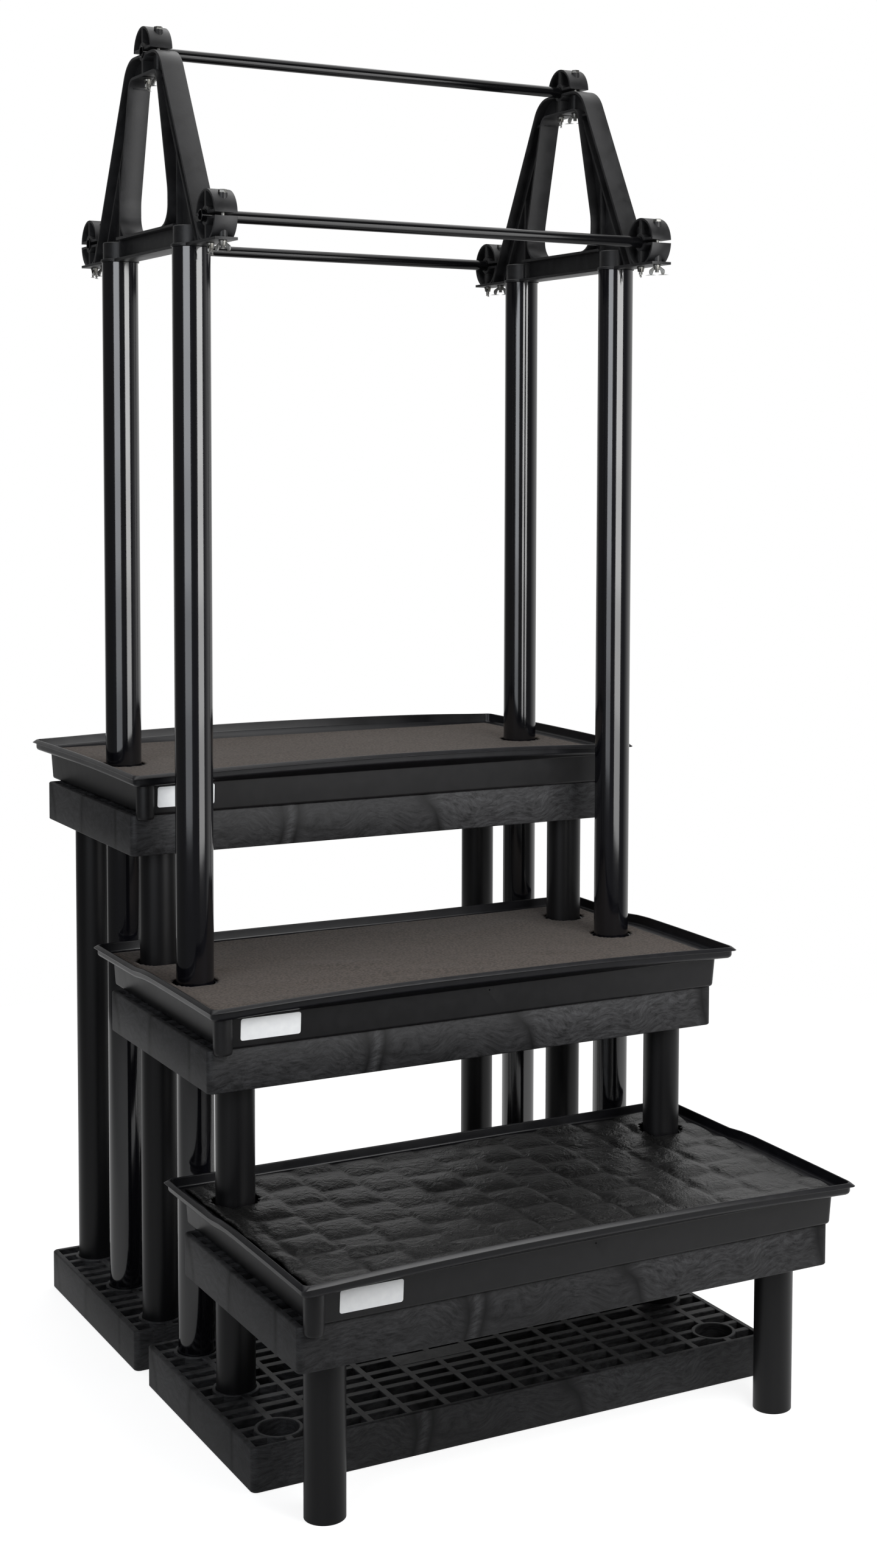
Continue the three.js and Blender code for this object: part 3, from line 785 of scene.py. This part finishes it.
def rim_rise(x, y, covered):
    """The rim stands up along the middle of each side, but stays low where a deck lies above it."""
    along = min(abs(x) / TRAY_X, 1.0)
    aside = min(abs(y) / TRAY_Y, 1.0)
    rise = LONG_RISE * (1 - along ** 2.4) + SHORT_RISE * (1 - aside ** 2) + END_RISE
    if not covered:
        return rise
    under = unit((y - COVER_START) / COVER_BLEND)
    under = under * under * (3 - 2 * under)
    return rise * (1 - under) - COVERED_DROP * under


def warped(point, offset, seed, covered):
    """The bow and the slight waviness of a vacuum-formed rim."""
    x, y, z = point
    lift = max(0.0, (z - SAG_START) / SAG_BLEND)
    out = unit((offset - RIM_START) / RIM_BLEND)
    wave = noise.noise(Vector((x * 3.1, y * 3.1, seed)))
    sway = 1 + noise.noise(Vector((x * 1.7 + 9, y * 1.7, seed)))
    centre = Vector((x, y)).normalized()
    rise = out * out * (rim_rise(x, y, covered) + RIM_WAVE * wave)
    return (x - centre.x * END_SAG * sway * lift, y - centre.y * SIDE_SAG * sway * lift, z + rise)


def pipe_places(places):
    return [(x + DECK_SHIFT.x, place * PITCH + DECK_SHIFT.y) for place in places for x in SIDES.values()]


DRAIN_AXIS = 0.002 - TRAY_X
DRAIN_DEPTH = 0.006
DRAIN_STEPS = 24
DRAIN_DROP = {"bottom": 0.015, "middle": 0.008, "top": 0.008}
# Radius and height of the drain's column, from its foot up
DRAIN_FOOT = ((0.0150, 0.0), (0.0175, 0.0008), (0.0188, 0.0030), (0.0193, 0.0070))
DRAIN_HEAD = (0.0200, SHOULDER + 0.001)


def drain_part(drop):
    """Half a round column that stands out of the tray's front wall and hangs below its floor."""

    def ring(radius, z):
        angles = [math.pi + math.pi * step / DRAIN_STEPS for step in range(DRAIN_STEPS + 1)]
        front = [(DRAIN_AXIS + radius * math.cos(t), -TRAY_Y + radius * math.sin(t), z) for t in angles]
        back = [(DRAIN_AXIS + side * radius, DRAIN_DEPTH - TRAY_Y, z) for side in (1, -1)]
        return front + back

    return loft([ring(radius, z - drop) for radius, z in DRAIN_FOOT] + [ring(*DRAIN_HEAD)])


LABEL_HALF = 0.066
LABEL_OUTLINE = rounded(rectangle(LABEL_HALF, 0.023, 0.005), 5)
LABEL_RISE = 0.039
LABEL_PROUD = 0.0005
LABEL_LEFT = {"bottom": 0.080, "middle": 0.066, "top": 0.056}
HOLE_RADIUS = LEG_RADIUS + 0.003
PIN_RADIUS = 0.0017
PIN_X = 0.014
PIN_RISE = 0.0575


def add_label(name, body, base):
    """A blank label, laid against the lean of the tray's front wall."""
    mesh = mesh_of("label", extruded([LABEL_OUTLINE], 0.0006, 0.0001))
    label = stand_piece(f"{name}_blank_label", mesh, body, LABEL, (), base)
    left = DECK_SHIFT.x - DECK_LENGTH / 2 + LABEL_LEFT[name]
    front = -TRAY_Y - WALL_LEAN * LABEL_RISE / SHOULDER - LABEL_PROUD
    label.location = base + Vector((left + LABEL_HALF, front, LABEL_RISE))
    label.rotation_euler = (math.radians(90) + math.atan2(WALL_LEAN, SHOULDER), 0, 0)


def tray_holes(places, covered):
    """Rooms for the pipes, and a pin hole in the front walls of the two lower trays."""
    room = [(HOLE_RADIUS, -0.01), (HOLE_RADIUS, 0.08)]
    holes = [turned(room, 48, False, place) for place in pipe_places(places)]
    if covered:
        pin = turned([(PIN_RADIUS, -0.02), (PIN_RADIUS, 0.0)], 16, False)
        holes.append(shifted(moved(pin, LENGTHWAYS), PIN_X, -TRAY_Y, PIN_RISE))
    return joined(holes)


def make_trays():
    for seed, (name, (row, tier, places)) in enumerate(TIERS.items()):
        base = Vector((0, row * PITCH, TIER_HEIGHT[tier] + DECK_HEIGHT + GAP))
        body = f"{name}_tray_set"
        covered = name != "top"
        mesh = mesh_of("tray", loft([
            [warped(point, offset, seed * 7.3, covered) for point in tray_ring(offset, z)]
            for offset, z in TRAY_PROFILE
        ]))
        tray = stand_piece(f"{name}_tray_look", mesh, body, TRAY, [f"{name}_tray"], base)
        cut(tray, tray_holes(places, covered))
        drain = mesh_of("drain", drain_part(DRAIN_DROP[name]))
        stand_piece(f"{name}_tray_drain", drain, body, TRAY, (), base)
        add_label(name, body, base)


make_trays()


# Mats

CELL_ACROSS = 0.101
CELL_ALONG = 0.1135
CELL_START = 0.057
CELL_BEND = 0.010
MAT_STEP = 0.0065
MAT_RISE = 0.0035
MAT_ROOM = 0.002
MAT_THICKNESS = 0.0034
EDGE_SHARE = 0.6
HOLE_ROOM = 0.005
HOLE_WAVE = 0.0015


def pillows(x, y, fade):
    """0 in the creases and 1 on the crests of cells in columns, every other one half a cell along."""
    bend = CELL_BEND * noise.noise(Vector((x * 6, y * 6, fade + 3)))
    column = (x + bend + CELL_START) / CELL_ACROSS
    u = 2 * abs(column - math.floor(column) - 0.5)
    along = (y - bend) / CELL_ALONG + 0.5 * (math.floor(column) % 2)
    v = 2 * abs(along - math.floor(along) - 0.5)
    uneven = 0.75 + 0.6 * noise.noise(Vector((math.floor(column) * 1.7, math.floor(along) * 2.3, fade)))
    return (1 - u ** 6) * (1 - v ** 2.4) * uneven


def wrinkles(x, y, seed):
    """Long low folds that run mostly along X."""
    bend = noise.noise(Vector((x * 2.2, y * 2.2, seed)))
    fold = noise.noise(Vector((x * 3.0 + bend, y * 11.0 + 2 * bend, seed + 5)))
    return max(0.0, fold - 0.12)


def quilt_height(x, y):
    return 0.0078 * pillows(x, y, 1.5) + 0.010 * wrinkles(x, y, 2.5)


def felt_height(x, y):
    """The middle felt has taken the cells of the deck below it, softly."""
    hold = 0.55 + 0.9 * noise.noise(Vector((x * 2.0, y * 2.6, 6.4)))
    return 0.0019 * pillows(x, y, 3.5) * max(0.1, hold) + 0.004 * wrinkles(x, y, 4.5)


def flat_felt_height(x, y):
    return 0.0006 + 0.0010 * wrinkles(x, y, 7.5) + 0.0004 * noise.noise(Vector((x * 9, y * 14, 8.1)))


def mat_part(half_x, half_y, places, height, seed):
    """A grid of small squares at the mat's height, left out where a pipe comes through."""
    columns = round(2 * half_x / MAT_STEP)
    rows = round(2 * half_y / MAT_STEP)
    verts, faces, index = [], [], {}

    def hidden(x, y):
        for px, py in places:
            angle = math.atan2(y - py, x - px)
            around = Vector((math.cos(angle) * 3 + px * 20, math.sin(angle) * 3, seed))
            if math.hypot(x - px, y - py) < LEG_RADIUS + HOLE_ROOM + HOLE_WAVE * noise.noise(around):
                return True
        return False

    for i in range(columns + 1):
        for j in range(rows + 1):
            x = -half_x + 2 * half_x * i / columns
            y = -half_y + 2 * half_y * j / rows
            if hidden(x, y):
                continue
            index[i, j] = len(verts)
            inside = 0 < i < columns and 0 < j < rows
            settle = 1.0 if inside else EDGE_SHARE
            verts.append((x, y, MAT_RISE * settle + height(x, y) * settle))
    for i in range(columns):
        for j in range(rows):
            corners = [index.get(key) for key in ((i, j), (i + 1, j), (i + 1, j + 1), (i, j + 1))]
            if None not in corners:
                faces.append(tuple(corners))
    return verts, faces


HEIGHTS = {"bottom": quilt_height, "middle": felt_height, "top": flat_felt_height}


def make_mats():
    for seed, (name, (row, tier, places)) in enumerate(TIERS.items()):
        base = Vector((0, row * PITCH, TIER_HEIGHT[tier] + DECK_HEIGHT + 2 * GAP + RAISED_FLOOR))
        material, slot = (QUILT, "quilt") if name == "bottom" else (FELT, "felt")
        part = mat_part(TRAY_X + MAT_ROOM, TRAY_Y + MAT_ROOM, pipe_places(places), HEIGHTS[name], seed)
        mesh = mesh_of("mat", part, 60)
        body = f"{name}_tray_set"
        mat = stand_piece(f"{name}_mat_look", mesh, body, material, [f"{name}_mat"], base)
        thick = mat.modifiers.new("thickness", "SOLIDIFY")
        thick.thickness = MAT_THICKNESS
        thick.offset = -1


make_mats()


# Brackets

LEAN = 0.5575
FRAME_HALF = 0.314
FOOT_HALF = 0.430
FOOT_TOP = FLANGE - FOOT
POST = 0.184
SADDLE = TOP_ROD_RISE - SPLIT
SHOULDER_RADIUS = 0.075
WINDOW_TOP = TOP_ROD_RISE - FOOT
WINDOW_HALF = 0.153
WINDOW_BEND = 0.075
WINDOW_HALF_TOP = 0.084
SHELF = WINDOW_TOP - 0.0125
DIAGONAL_TOP = WINDOW_TOP - 0.025
WEB = 0.006
RIB_WIDTH = 0.031
SHARP_EDGE = 0.0004
BORE = ROD_RADIUS + 0.0005
HUB_RADIUS = 0.0202
BOSS_RADIUS = 0.010
BOSS_END = 0.001


def outer_leg(z):
    """Half the frame's width at a height above the front and rear rods."""
    return FRAME_HALF - LEAN * z


def strip(start, end, wall):
    """The outline of a straight wall between two points."""
    along = Vector((end[0] - start[0], end[1] - start[1])).normalized()
    side = Vector((-along.y, along.x)) * wall / 2
    return [
        (start[0] - side.x, start[1] - side.y), (end[0] - side.x, end[1] - side.y),
        (end[0] + side.x, end[1] + side.y), (start[0] + side.x, start[1] + side.y),
    ]


def arc(radius, start, end, steps):
    angles = [math.radians(start + (end - start) * i / steps) for i in range(steps + 1)]
    return [(radius * math.cos(t), radius * math.sin(t)) for t in angles]


def box_loop(a0, b0, a1, b1):
    return [(a0, b0), (a1, b0), (a1, b1), (a0, b1)]


def half_wheel(trim, upper):
    """Half of a split clamp round a rod's axis, as seen from the side; the trim cuts the lower one flat."""
    sign = 1 if upper else -1

    def sector(outer, inner, low):
        start = math.degrees(math.asin(low / outer))
        turn = math.degrees(math.asin(low / inner))
        outside = arc(outer, start, 180 - start, 40)
        if not upper:
            outside = [(a, min(b, trim)) for a, b in outside]
        return [(a, sign * b) for a, b in outside + arc(inner, 180 - turn, turn, 30)]

    rim = sector(CLAMP_RADIUS, CLAMP_RADIUS - 0.005, SPLIT)
    web = sector(CLAMP_RADIUS - 0.003, ROD_RADIUS + 0.0008, SPLIT + 0.001)
    hub = sector(HUB_RADIUS, BORE, SPLIT)
    reach = CLAMP_RADIUS - 0.0025
    top = reach if upper else min(reach, trim)
    spoke = box_loop(-0.004, sign * 0.016, 0.004, sign * top)
    parts = [
        across([rim], BRACKET_WIDTH),
        across([web], WEB, SHARP_EDGE),
        across([hub], BRACKET_WIDTH + 0.0004),
        across([spoke], BRACKET_WIDTH - 0.0006),
    ]
    for side in (-1, 1):
        lip = box_loop(side * BORE, sign * SPLIT, side * reach, sign * (SPLIT + 0.0055))
        parts.append(across([lip], BRACKET_WIDTH - 0.0002))
    return joined(parts)


def boss_part(low, high, y):
    return turned([(BOSS_RADIUS, low), (BOSS_RADIUS, high)], 28, False, (0, y))


def frame_parts():
    """The bracket's rim, web, window and floor, each with its own width along X."""
    rim = [
        (-outer_leg(-FOOT), -FOOT, 0.001), (outer_leg(-FOOT), -FOOT, 0.001),
        (outer_leg(SADDLE), SADDLE, SHOULDER_RADIUS), (-outer_leg(SADDLE), SADDLE, SHOULDER_RADIUS),
    ]
    window = [
        (-WINDOW_HALF, 0, 0.045), (WINDOW_HALF, 0, 0.045), (WINDOW_HALF, WINDOW_BEND, 0.100),
        (WINDOW_HALF_TOP, WINDOW_TOP, 0.025), (-WINDOW_HALF_TOP, WINDOW_TOP, 0.025),
        (-WINDOW_HALF, WINDOW_BEND, 0.100),
    ]
    web = [rounded(inset(rim, 0.002), 12), rounded(inset(window, -0.002), 10)]
    return [
        across([rounded(rim, 12), rounded(inset(rim, FLANGE), 12)], BRACKET_WIDTH),
        across(web, WEB, SHARP_EDGE),
        across([rounded(inset(window, -FLANGE), 10), rounded(window, 10)], BRACKET_WIDTH + 0.0002),
        across([box_loop(-POST, -FLANGE, POST, 0)], BRACKET_WIDTH - 0.0004),
        across([box_loop(-FOOT_HALF, -FOOT, FOOT_HALF, FOOT_TOP)], BRACKET_WIDTH + 0.0004),
    ]


def rib_outlines(side):
    """A diagonal, a post and a shelf on one side of the window."""
    post_top = (FRAME_HALF - 0.046 - POST) / LEAN
    foot_end = (side * (outer_leg(FOOT_TOP) - 0.046), FOOT_TOP)
    top_end = (side * (outer_leg(DIAGONAL_TOP) - 0.047), DIAGONAL_TOP)
    return [
        strip(foot_end, top_end, FLANGE),
        strip((side * POST, -FOOT), (side * POST, post_top), FLANGE),
        strip((side * 0.086, SHELF), (side * (outer_leg(SHELF) - 0.003), SHELF), FLANGE),
    ]


def pipe_head(y):
    """A collar, its flange and the spigot over one upright."""
    return [
        turned([(0.038, -FOOT), (0.038, -0.0095), (0.0365, -0.008)], 64, False, (0, y)),
        turned([(0.043, -FOOT), (0.043, FOOT_TOP - 0.001), (0.042, FOOT_TOP)], 64, False, (0, y)),
        turned([(0.0360, -FOOT - 0.040), (0.0360, FOOT_TOP - 0.001)], 48, False, (0, y)),
    ]


def bracket_part():
    parts = frame_parts()
    for side in (-1, 1):
        parts += [across([rib], RIB_WIDTH) for rib in rib_outlines(side)]
    for y in (-CLAMP_OFFSET, CLAMP_OFFSET):
        parts.append(shifted(half_wheel(FOOT, False), 0, y, 0))
        for bolt in BOLTS.values():
            parts.append(boss_part(-FOOT + BOSS_END, -SPLIT - BOSS_END, y + bolt))
    hub = arc(HUB_RADIUS, 190, 350, 30) + arc(BORE, 344, 196, 24)
    parts.append(shifted(across([hub], BRACKET_WIDTH + 0.0003), 0, 0, TOP_ROD_RISE))
    spoke = box_loop(-0.005, WINDOW_TOP, 0.005, TOP_ROD_RISE - 0.016)
    parts.append(across([spoke], BRACKET_WIDTH - 0.0008))
    for bolt in BOLTS.values():
        parts.append(boss_part(WINDOW_TOP + BOSS_END, SADDLE - BOSS_END, bolt))
    for y in (-PITCH, PITCH):
        parts += pipe_head(y)
    return joined(parts)


ROD_PLACES = {"front": (-CLAMP_OFFSET, 0.0), "rear": (CLAMP_OFFSET, 0.0), "top": (0.0, TOP_ROD_RISE)}
HEAD = DECK_SHIFT + Vector((0, PITCH, ROD_HEIGHT))
BOSS_TOP = 0.044
HEX_RADIUS = 0.0095
BOLT_RADIUS = 0.004
THREAD_RADIUS = 0.00405
THREAD_CREST = 0.0044
THREAD_START = -FOOT - 0.0168
THREAD_PITCH = 0.00125
THREADS = 13
# Radius and height of a wing nut's hub, and one wing's outline, both down from its face
NUT_HUB = (
    (0.0046, 0.0), (0.0086, 0.0), (0.0090, -0.0006), (0.0088, -0.0022), (0.0078, -0.0045),
    (0.0068, -0.0105), (0.0064, -0.0110), (0.0046, -0.0110),
)
NUT_WING = (
    (0.0050, -0.0020, 0), (0.0100, -0.0050, 0.004), (0.0190, -0.0115, 0.004), (0.0190, -0.0220, 0.005),
    (0.0115, -0.0220, 0.004), (0.0085, -0.0125, 0.006), (0.0050, -0.0100, 0),
)
NUT_TURN = {"a": 35, "b": -35}
BOLT_TURN = 0.3


def cap_part():
    bosses = [boss_part(SPLIT + BOSS_END, BOSS_TOP, bolt) for bolt in BOLTS.values()]
    return joined([half_wheel(0, True), *bosses])


def bolt_part():
    """A hexagon head, a washer, a shank and the threads that show below the wing nut."""
    corners = [math.pi * i / 3 for i in range(6)]
    hexagon = [(HEX_RADIUS * math.cos(t), HEX_RADIUS * math.sin(t)) for t in corners]
    head = shifted(extruded([hexagon], 0.0066, 0.0008), 0, 0, 0.0477)
    washer = turned([(0.0098, BOSS_TOP + 0.0001), (0.0098, BOSS_TOP + 0.0006)], 32, False)
    shank = turned([(BOLT_RADIUS, -FOOT - 0.0172), (BOLT_RADIUS, BOSS_TOP + 0.0005)], 24, False)
    threads = []
    for index in range(THREADS):
        z = THREAD_START + THREAD_PITCH * index
        turn = [(THREAD_RADIUS, z), (THREAD_CREST, z + 0.0005), (THREAD_RADIUS, z + 0.001)]
        threads.append(turned(turn, 24, False))
    return joined([head, washer, shank, *threads])


def nut_part():
    parts = [turned(NUT_HUB, 40)]
    for side in (-1, 1):
        wing = rounded([(side * a, b, radius) for a, b, radius in NUT_WING], 5)
        parts.append(across([wing], 0.0030, 0.0009))
    return joined(parts)


def make_heads():
    bracket_mesh = mesh_of("bracket", bracket_part())
    for side, x in SIDES.items():
        place = HEAD + Vector((x, 0, 0))
        node = f"{side}_bracket"
        stand_piece(f"{node}_look", bracket_mesh, "frame", BRACKET, [node], place)
    cap_mesh = mesh_of("cap", cap_part())
    bolt_mesh = mesh_of("bolt", bolt_part())
    nut_mesh = mesh_of("nut", nut_part())
    for rod, (y, z) in ROD_PLACES.items():
        for side, x in SIDES.items():
            place = HEAD + Vector((x, y, z))
            cap = f"{side}_{rod}_clamp_cap"
            stand_piece(f"{cap}_look", cap_mesh, "frame", BRACKET, [cap], place)
            for end, offset in BOLTS.items():
                at = place + Vector((0, offset, 0))
                bolt = f"{side}_{rod}_bolt_{end}"
                stand_piece(bolt, bolt_mesh, "frame", ZINC, (), at, BOLT_TURN * x + y)
                nut = f"{side}_{rod}_wing_nut_{end}"
                turn = math.radians(NUT_TURN[end])
                at_nut = at - Vector((0, 0, FOOT + GAP))
                stand_piece(f"{nut}_look", nut_mesh, f"{nut}_body", ZINC, [nut], at_nut, turn)


make_heads()


ROD_WALL = 0.0026
ROD_END = 0.004
FRONT_ROD_SHIFT = -0.009


def make_rods():
    length = 2 * COLUMN_X + BRACKET_WIDTH + ROD_END
    rod = moved(tube(ROD_RADIUS, ROD_RADIUS - ROD_WALL, -length / 2, length / 2, 48), SIDEWAYS)
    mesh = mesh_of("rod", rod)
    for name, (y, z) in ROD_PLACES.items():
        shift = FRONT_ROD_SHIFT if name == "front" else 0.0
        place = HEAD + Vector((shift, y, z))
        stand_piece(f"{name}_rod_look", mesh, "frame", ROD, [f"{name}_rod"], place)


make_rods()


# Floor and light

WHITE = (1, 1, 1, 1)
COOL = (0.92, 0.95, 1.0)
FLOOR_RADIUS = 3.6
FLOOR_SIDES = 96
FLOOR_DROP = 0.0004
FLOOR_COLOUR = (0.45, 0.45, 0.45, 1)
FLOOR_GLOW = 0.80
BACKDROP_SIDE = (0.773, 0.639, 0.0)
# Radiance of the left and right lamps, row by row from the lowest
LAMP_ROWS = ((1.3, 2.8), (1.9, 3.9), (3.0, 5.3), (3.6, 6.1), (3.9, 6.5), (4.0, 6.7))
LOWEST_LAMP = 1.0
LAMP_HEIGHT = 0.4
LEFT_WIDTH = 1.9
RIGHT_WIDTH = 1.4


def ray_kinds(nodes, links):
    """Whether a ray comes from the camera, and whether it is a glossy or transmitted one."""
    rays = nodes.new("ShaderNodeLightPath").outputs
    either = combined(nodes, links, "MAXIMUM", rays["Is Glossy Ray"], rays["Is Transmission Ray"])
    return rays["Is Camera Ray"], either


def toward_backdrop(nodes, links, kind):
    """How far a place or direction lies toward the side on which the backdrop stands."""
    node = nodes.new("ShaderNodeVectorMath")
    node.operation = "DOT_PRODUCT"
    node.inputs[1].default_value = BACKDROP_SIDE
    links.new(nodes.new("ShaderNodeTexCoord").outputs[kind], node.inputs[0])
    return node.outputs["Value"]


def floor_material():
    """A dull floor that glows white to the camera and fades to dark in reflections on one side."""
    material = bpy.data.materials.new("pale_floor")
    material.use_nodes = True
    nodes, links = material.node_tree.nodes, material.node_tree.links
    shader = nodes["Principled BSDF"]
    set_inputs(shader, {"Base Color": FLOOR_COLOUR, "Roughness": 0.9, "Specular IOR Level": 0.1})
    glow = nodes.new("ShaderNodeEmission")
    glow.inputs["Color"].default_value = WHITE
    camera_ray, other_ray = ray_kinds(nodes, links)
    side = toward_backdrop(nodes, links, "Object")
    fade = ranged(nodes, links, side, -1.6, 0.8, 0.0, 0.6, "SMOOTHSTEP")
    strength = nodes.new("ShaderNodeMath")
    strength.operation = "MULTIPLY_ADD"
    strength.inputs[1].default_value = FLOOR_GLOW
    links.new(camera_ray, strength.inputs[0])
    links.new(combined(nodes, links, "MULTIPLY", other_ray, fade), strength.inputs[2])
    links.new(strength.outputs[0], glow.inputs["Strength"])
    both = nodes.new("ShaderNodeAddShader")
    links.new(shader.outputs[0], both.inputs[0])
    links.new(glow.outputs[0], both.inputs[1])
    links.new(both.outputs[0], nodes["Material Output"].inputs["Surface"])
    return material


def make_floor():
    angles = [2 * math.pi * i / FLOOR_SIDES for i in range(FLOOR_SIDES)]
    verts = [(FLOOR_RADIUS * math.cos(t), FLOOR_RADIUS * math.sin(t), 0) for t in angles]
    mesh = bpy.data.meshes.new("floor")
    mesh.from_pydata(verts, [], [tuple(range(FLOOR_SIDES))])
    mesh.materials.append(floor_material())
    floor = in_scene("floor", mesh)
    floor.location.z = -FLOOR_DROP


def make_world():
    """White to the eye; a soft room to the object, with a white backdrop behind it to the right."""
    world = bpy.data.worlds.new("studio")
    bpy.context.scene.world = world
    world.use_nodes = True
    nodes, links = world.node_tree.nodes, world.node_tree.links
    soft = nodes["Background"]
    white = nodes.new("ShaderNodeBackground")
    backdrop = nodes.new("ShaderNodeBackground")
    for background in (soft, white, backdrop):
        background.inputs["Color"].default_value = WHITE
    white.inputs["Strength"].default_value = 1.0
    side = toward_backdrop(nodes, links, "Generated")
    glossy = ranged(nodes, links, side, 0.1, 0.9, 0.08, 0.8, "SMOOTHSTEP")
    diffuse = ranged(nodes, links, side, -0.5, 0.9, 0.12, 0.65, "SMOOTHSTEP")
    links.new(glossy, backdrop.inputs["Strength"])
    links.new(diffuse, soft.inputs["Strength"])
    camera_ray, other_ray = ray_kinds(nodes, links)

    def chosen(factor, otherwise, when):
        node = nodes.new("ShaderNodeMixShader")
        for source, socket in zip((factor, otherwise, when), node.inputs):
            links.new(source, socket)
        return node.outputs[0]

    room = chosen(other_ray, soft.outputs[0], backdrop.outputs[0])
    seen = chosen(camera_ray, room, white.outputs[0])
    links.new(seen, nodes["World Output"].inputs["Surface"])


def softbox(name, place, target, width, height, radiance, colour=(1, 1, 1)):
    data = bpy.data.lights.new(name, "AREA")
    data.shape = "RECTANGLE"
    data.size = width
    data.size_y = height
    data.energy = radiance * math.pi * width * height
    data.color = colour
    light = in_scene(name, data)
    light.location = place
    light.rotation_euler = (Vector(target) - Vector(place)).to_track_quat("-Z", "Y").to_euler()


def hang_lamps():
    """Two tall stacks of lamps that grow dimmer towards the floor, and one lamp overhead."""
    for row, (left, right) in enumerate(LAMP_ROWS):
        level = LOWEST_LAMP + LAMP_HEIGHT * row
        place, target = (-2.55, -1.68, level), (-0.55, 0.0, level)
        softbox(f"left_softbox_{row}", place, target, LEFT_WIDTH, LAMP_HEIGHT, left, COOL)
        place, target = (0.50, -1.95, level), (-0.10, 0.0, level)
        softbox(f"right_softbox_{row}", place, target, RIGHT_WIDTH, LAMP_HEIGHT, right)
    softbox("overhead", (0.0, 0.3, 4.4), (0, 0, 1), 3.0, 3.0, 2.0)


make_floor()
make_world()
hang_lamps()
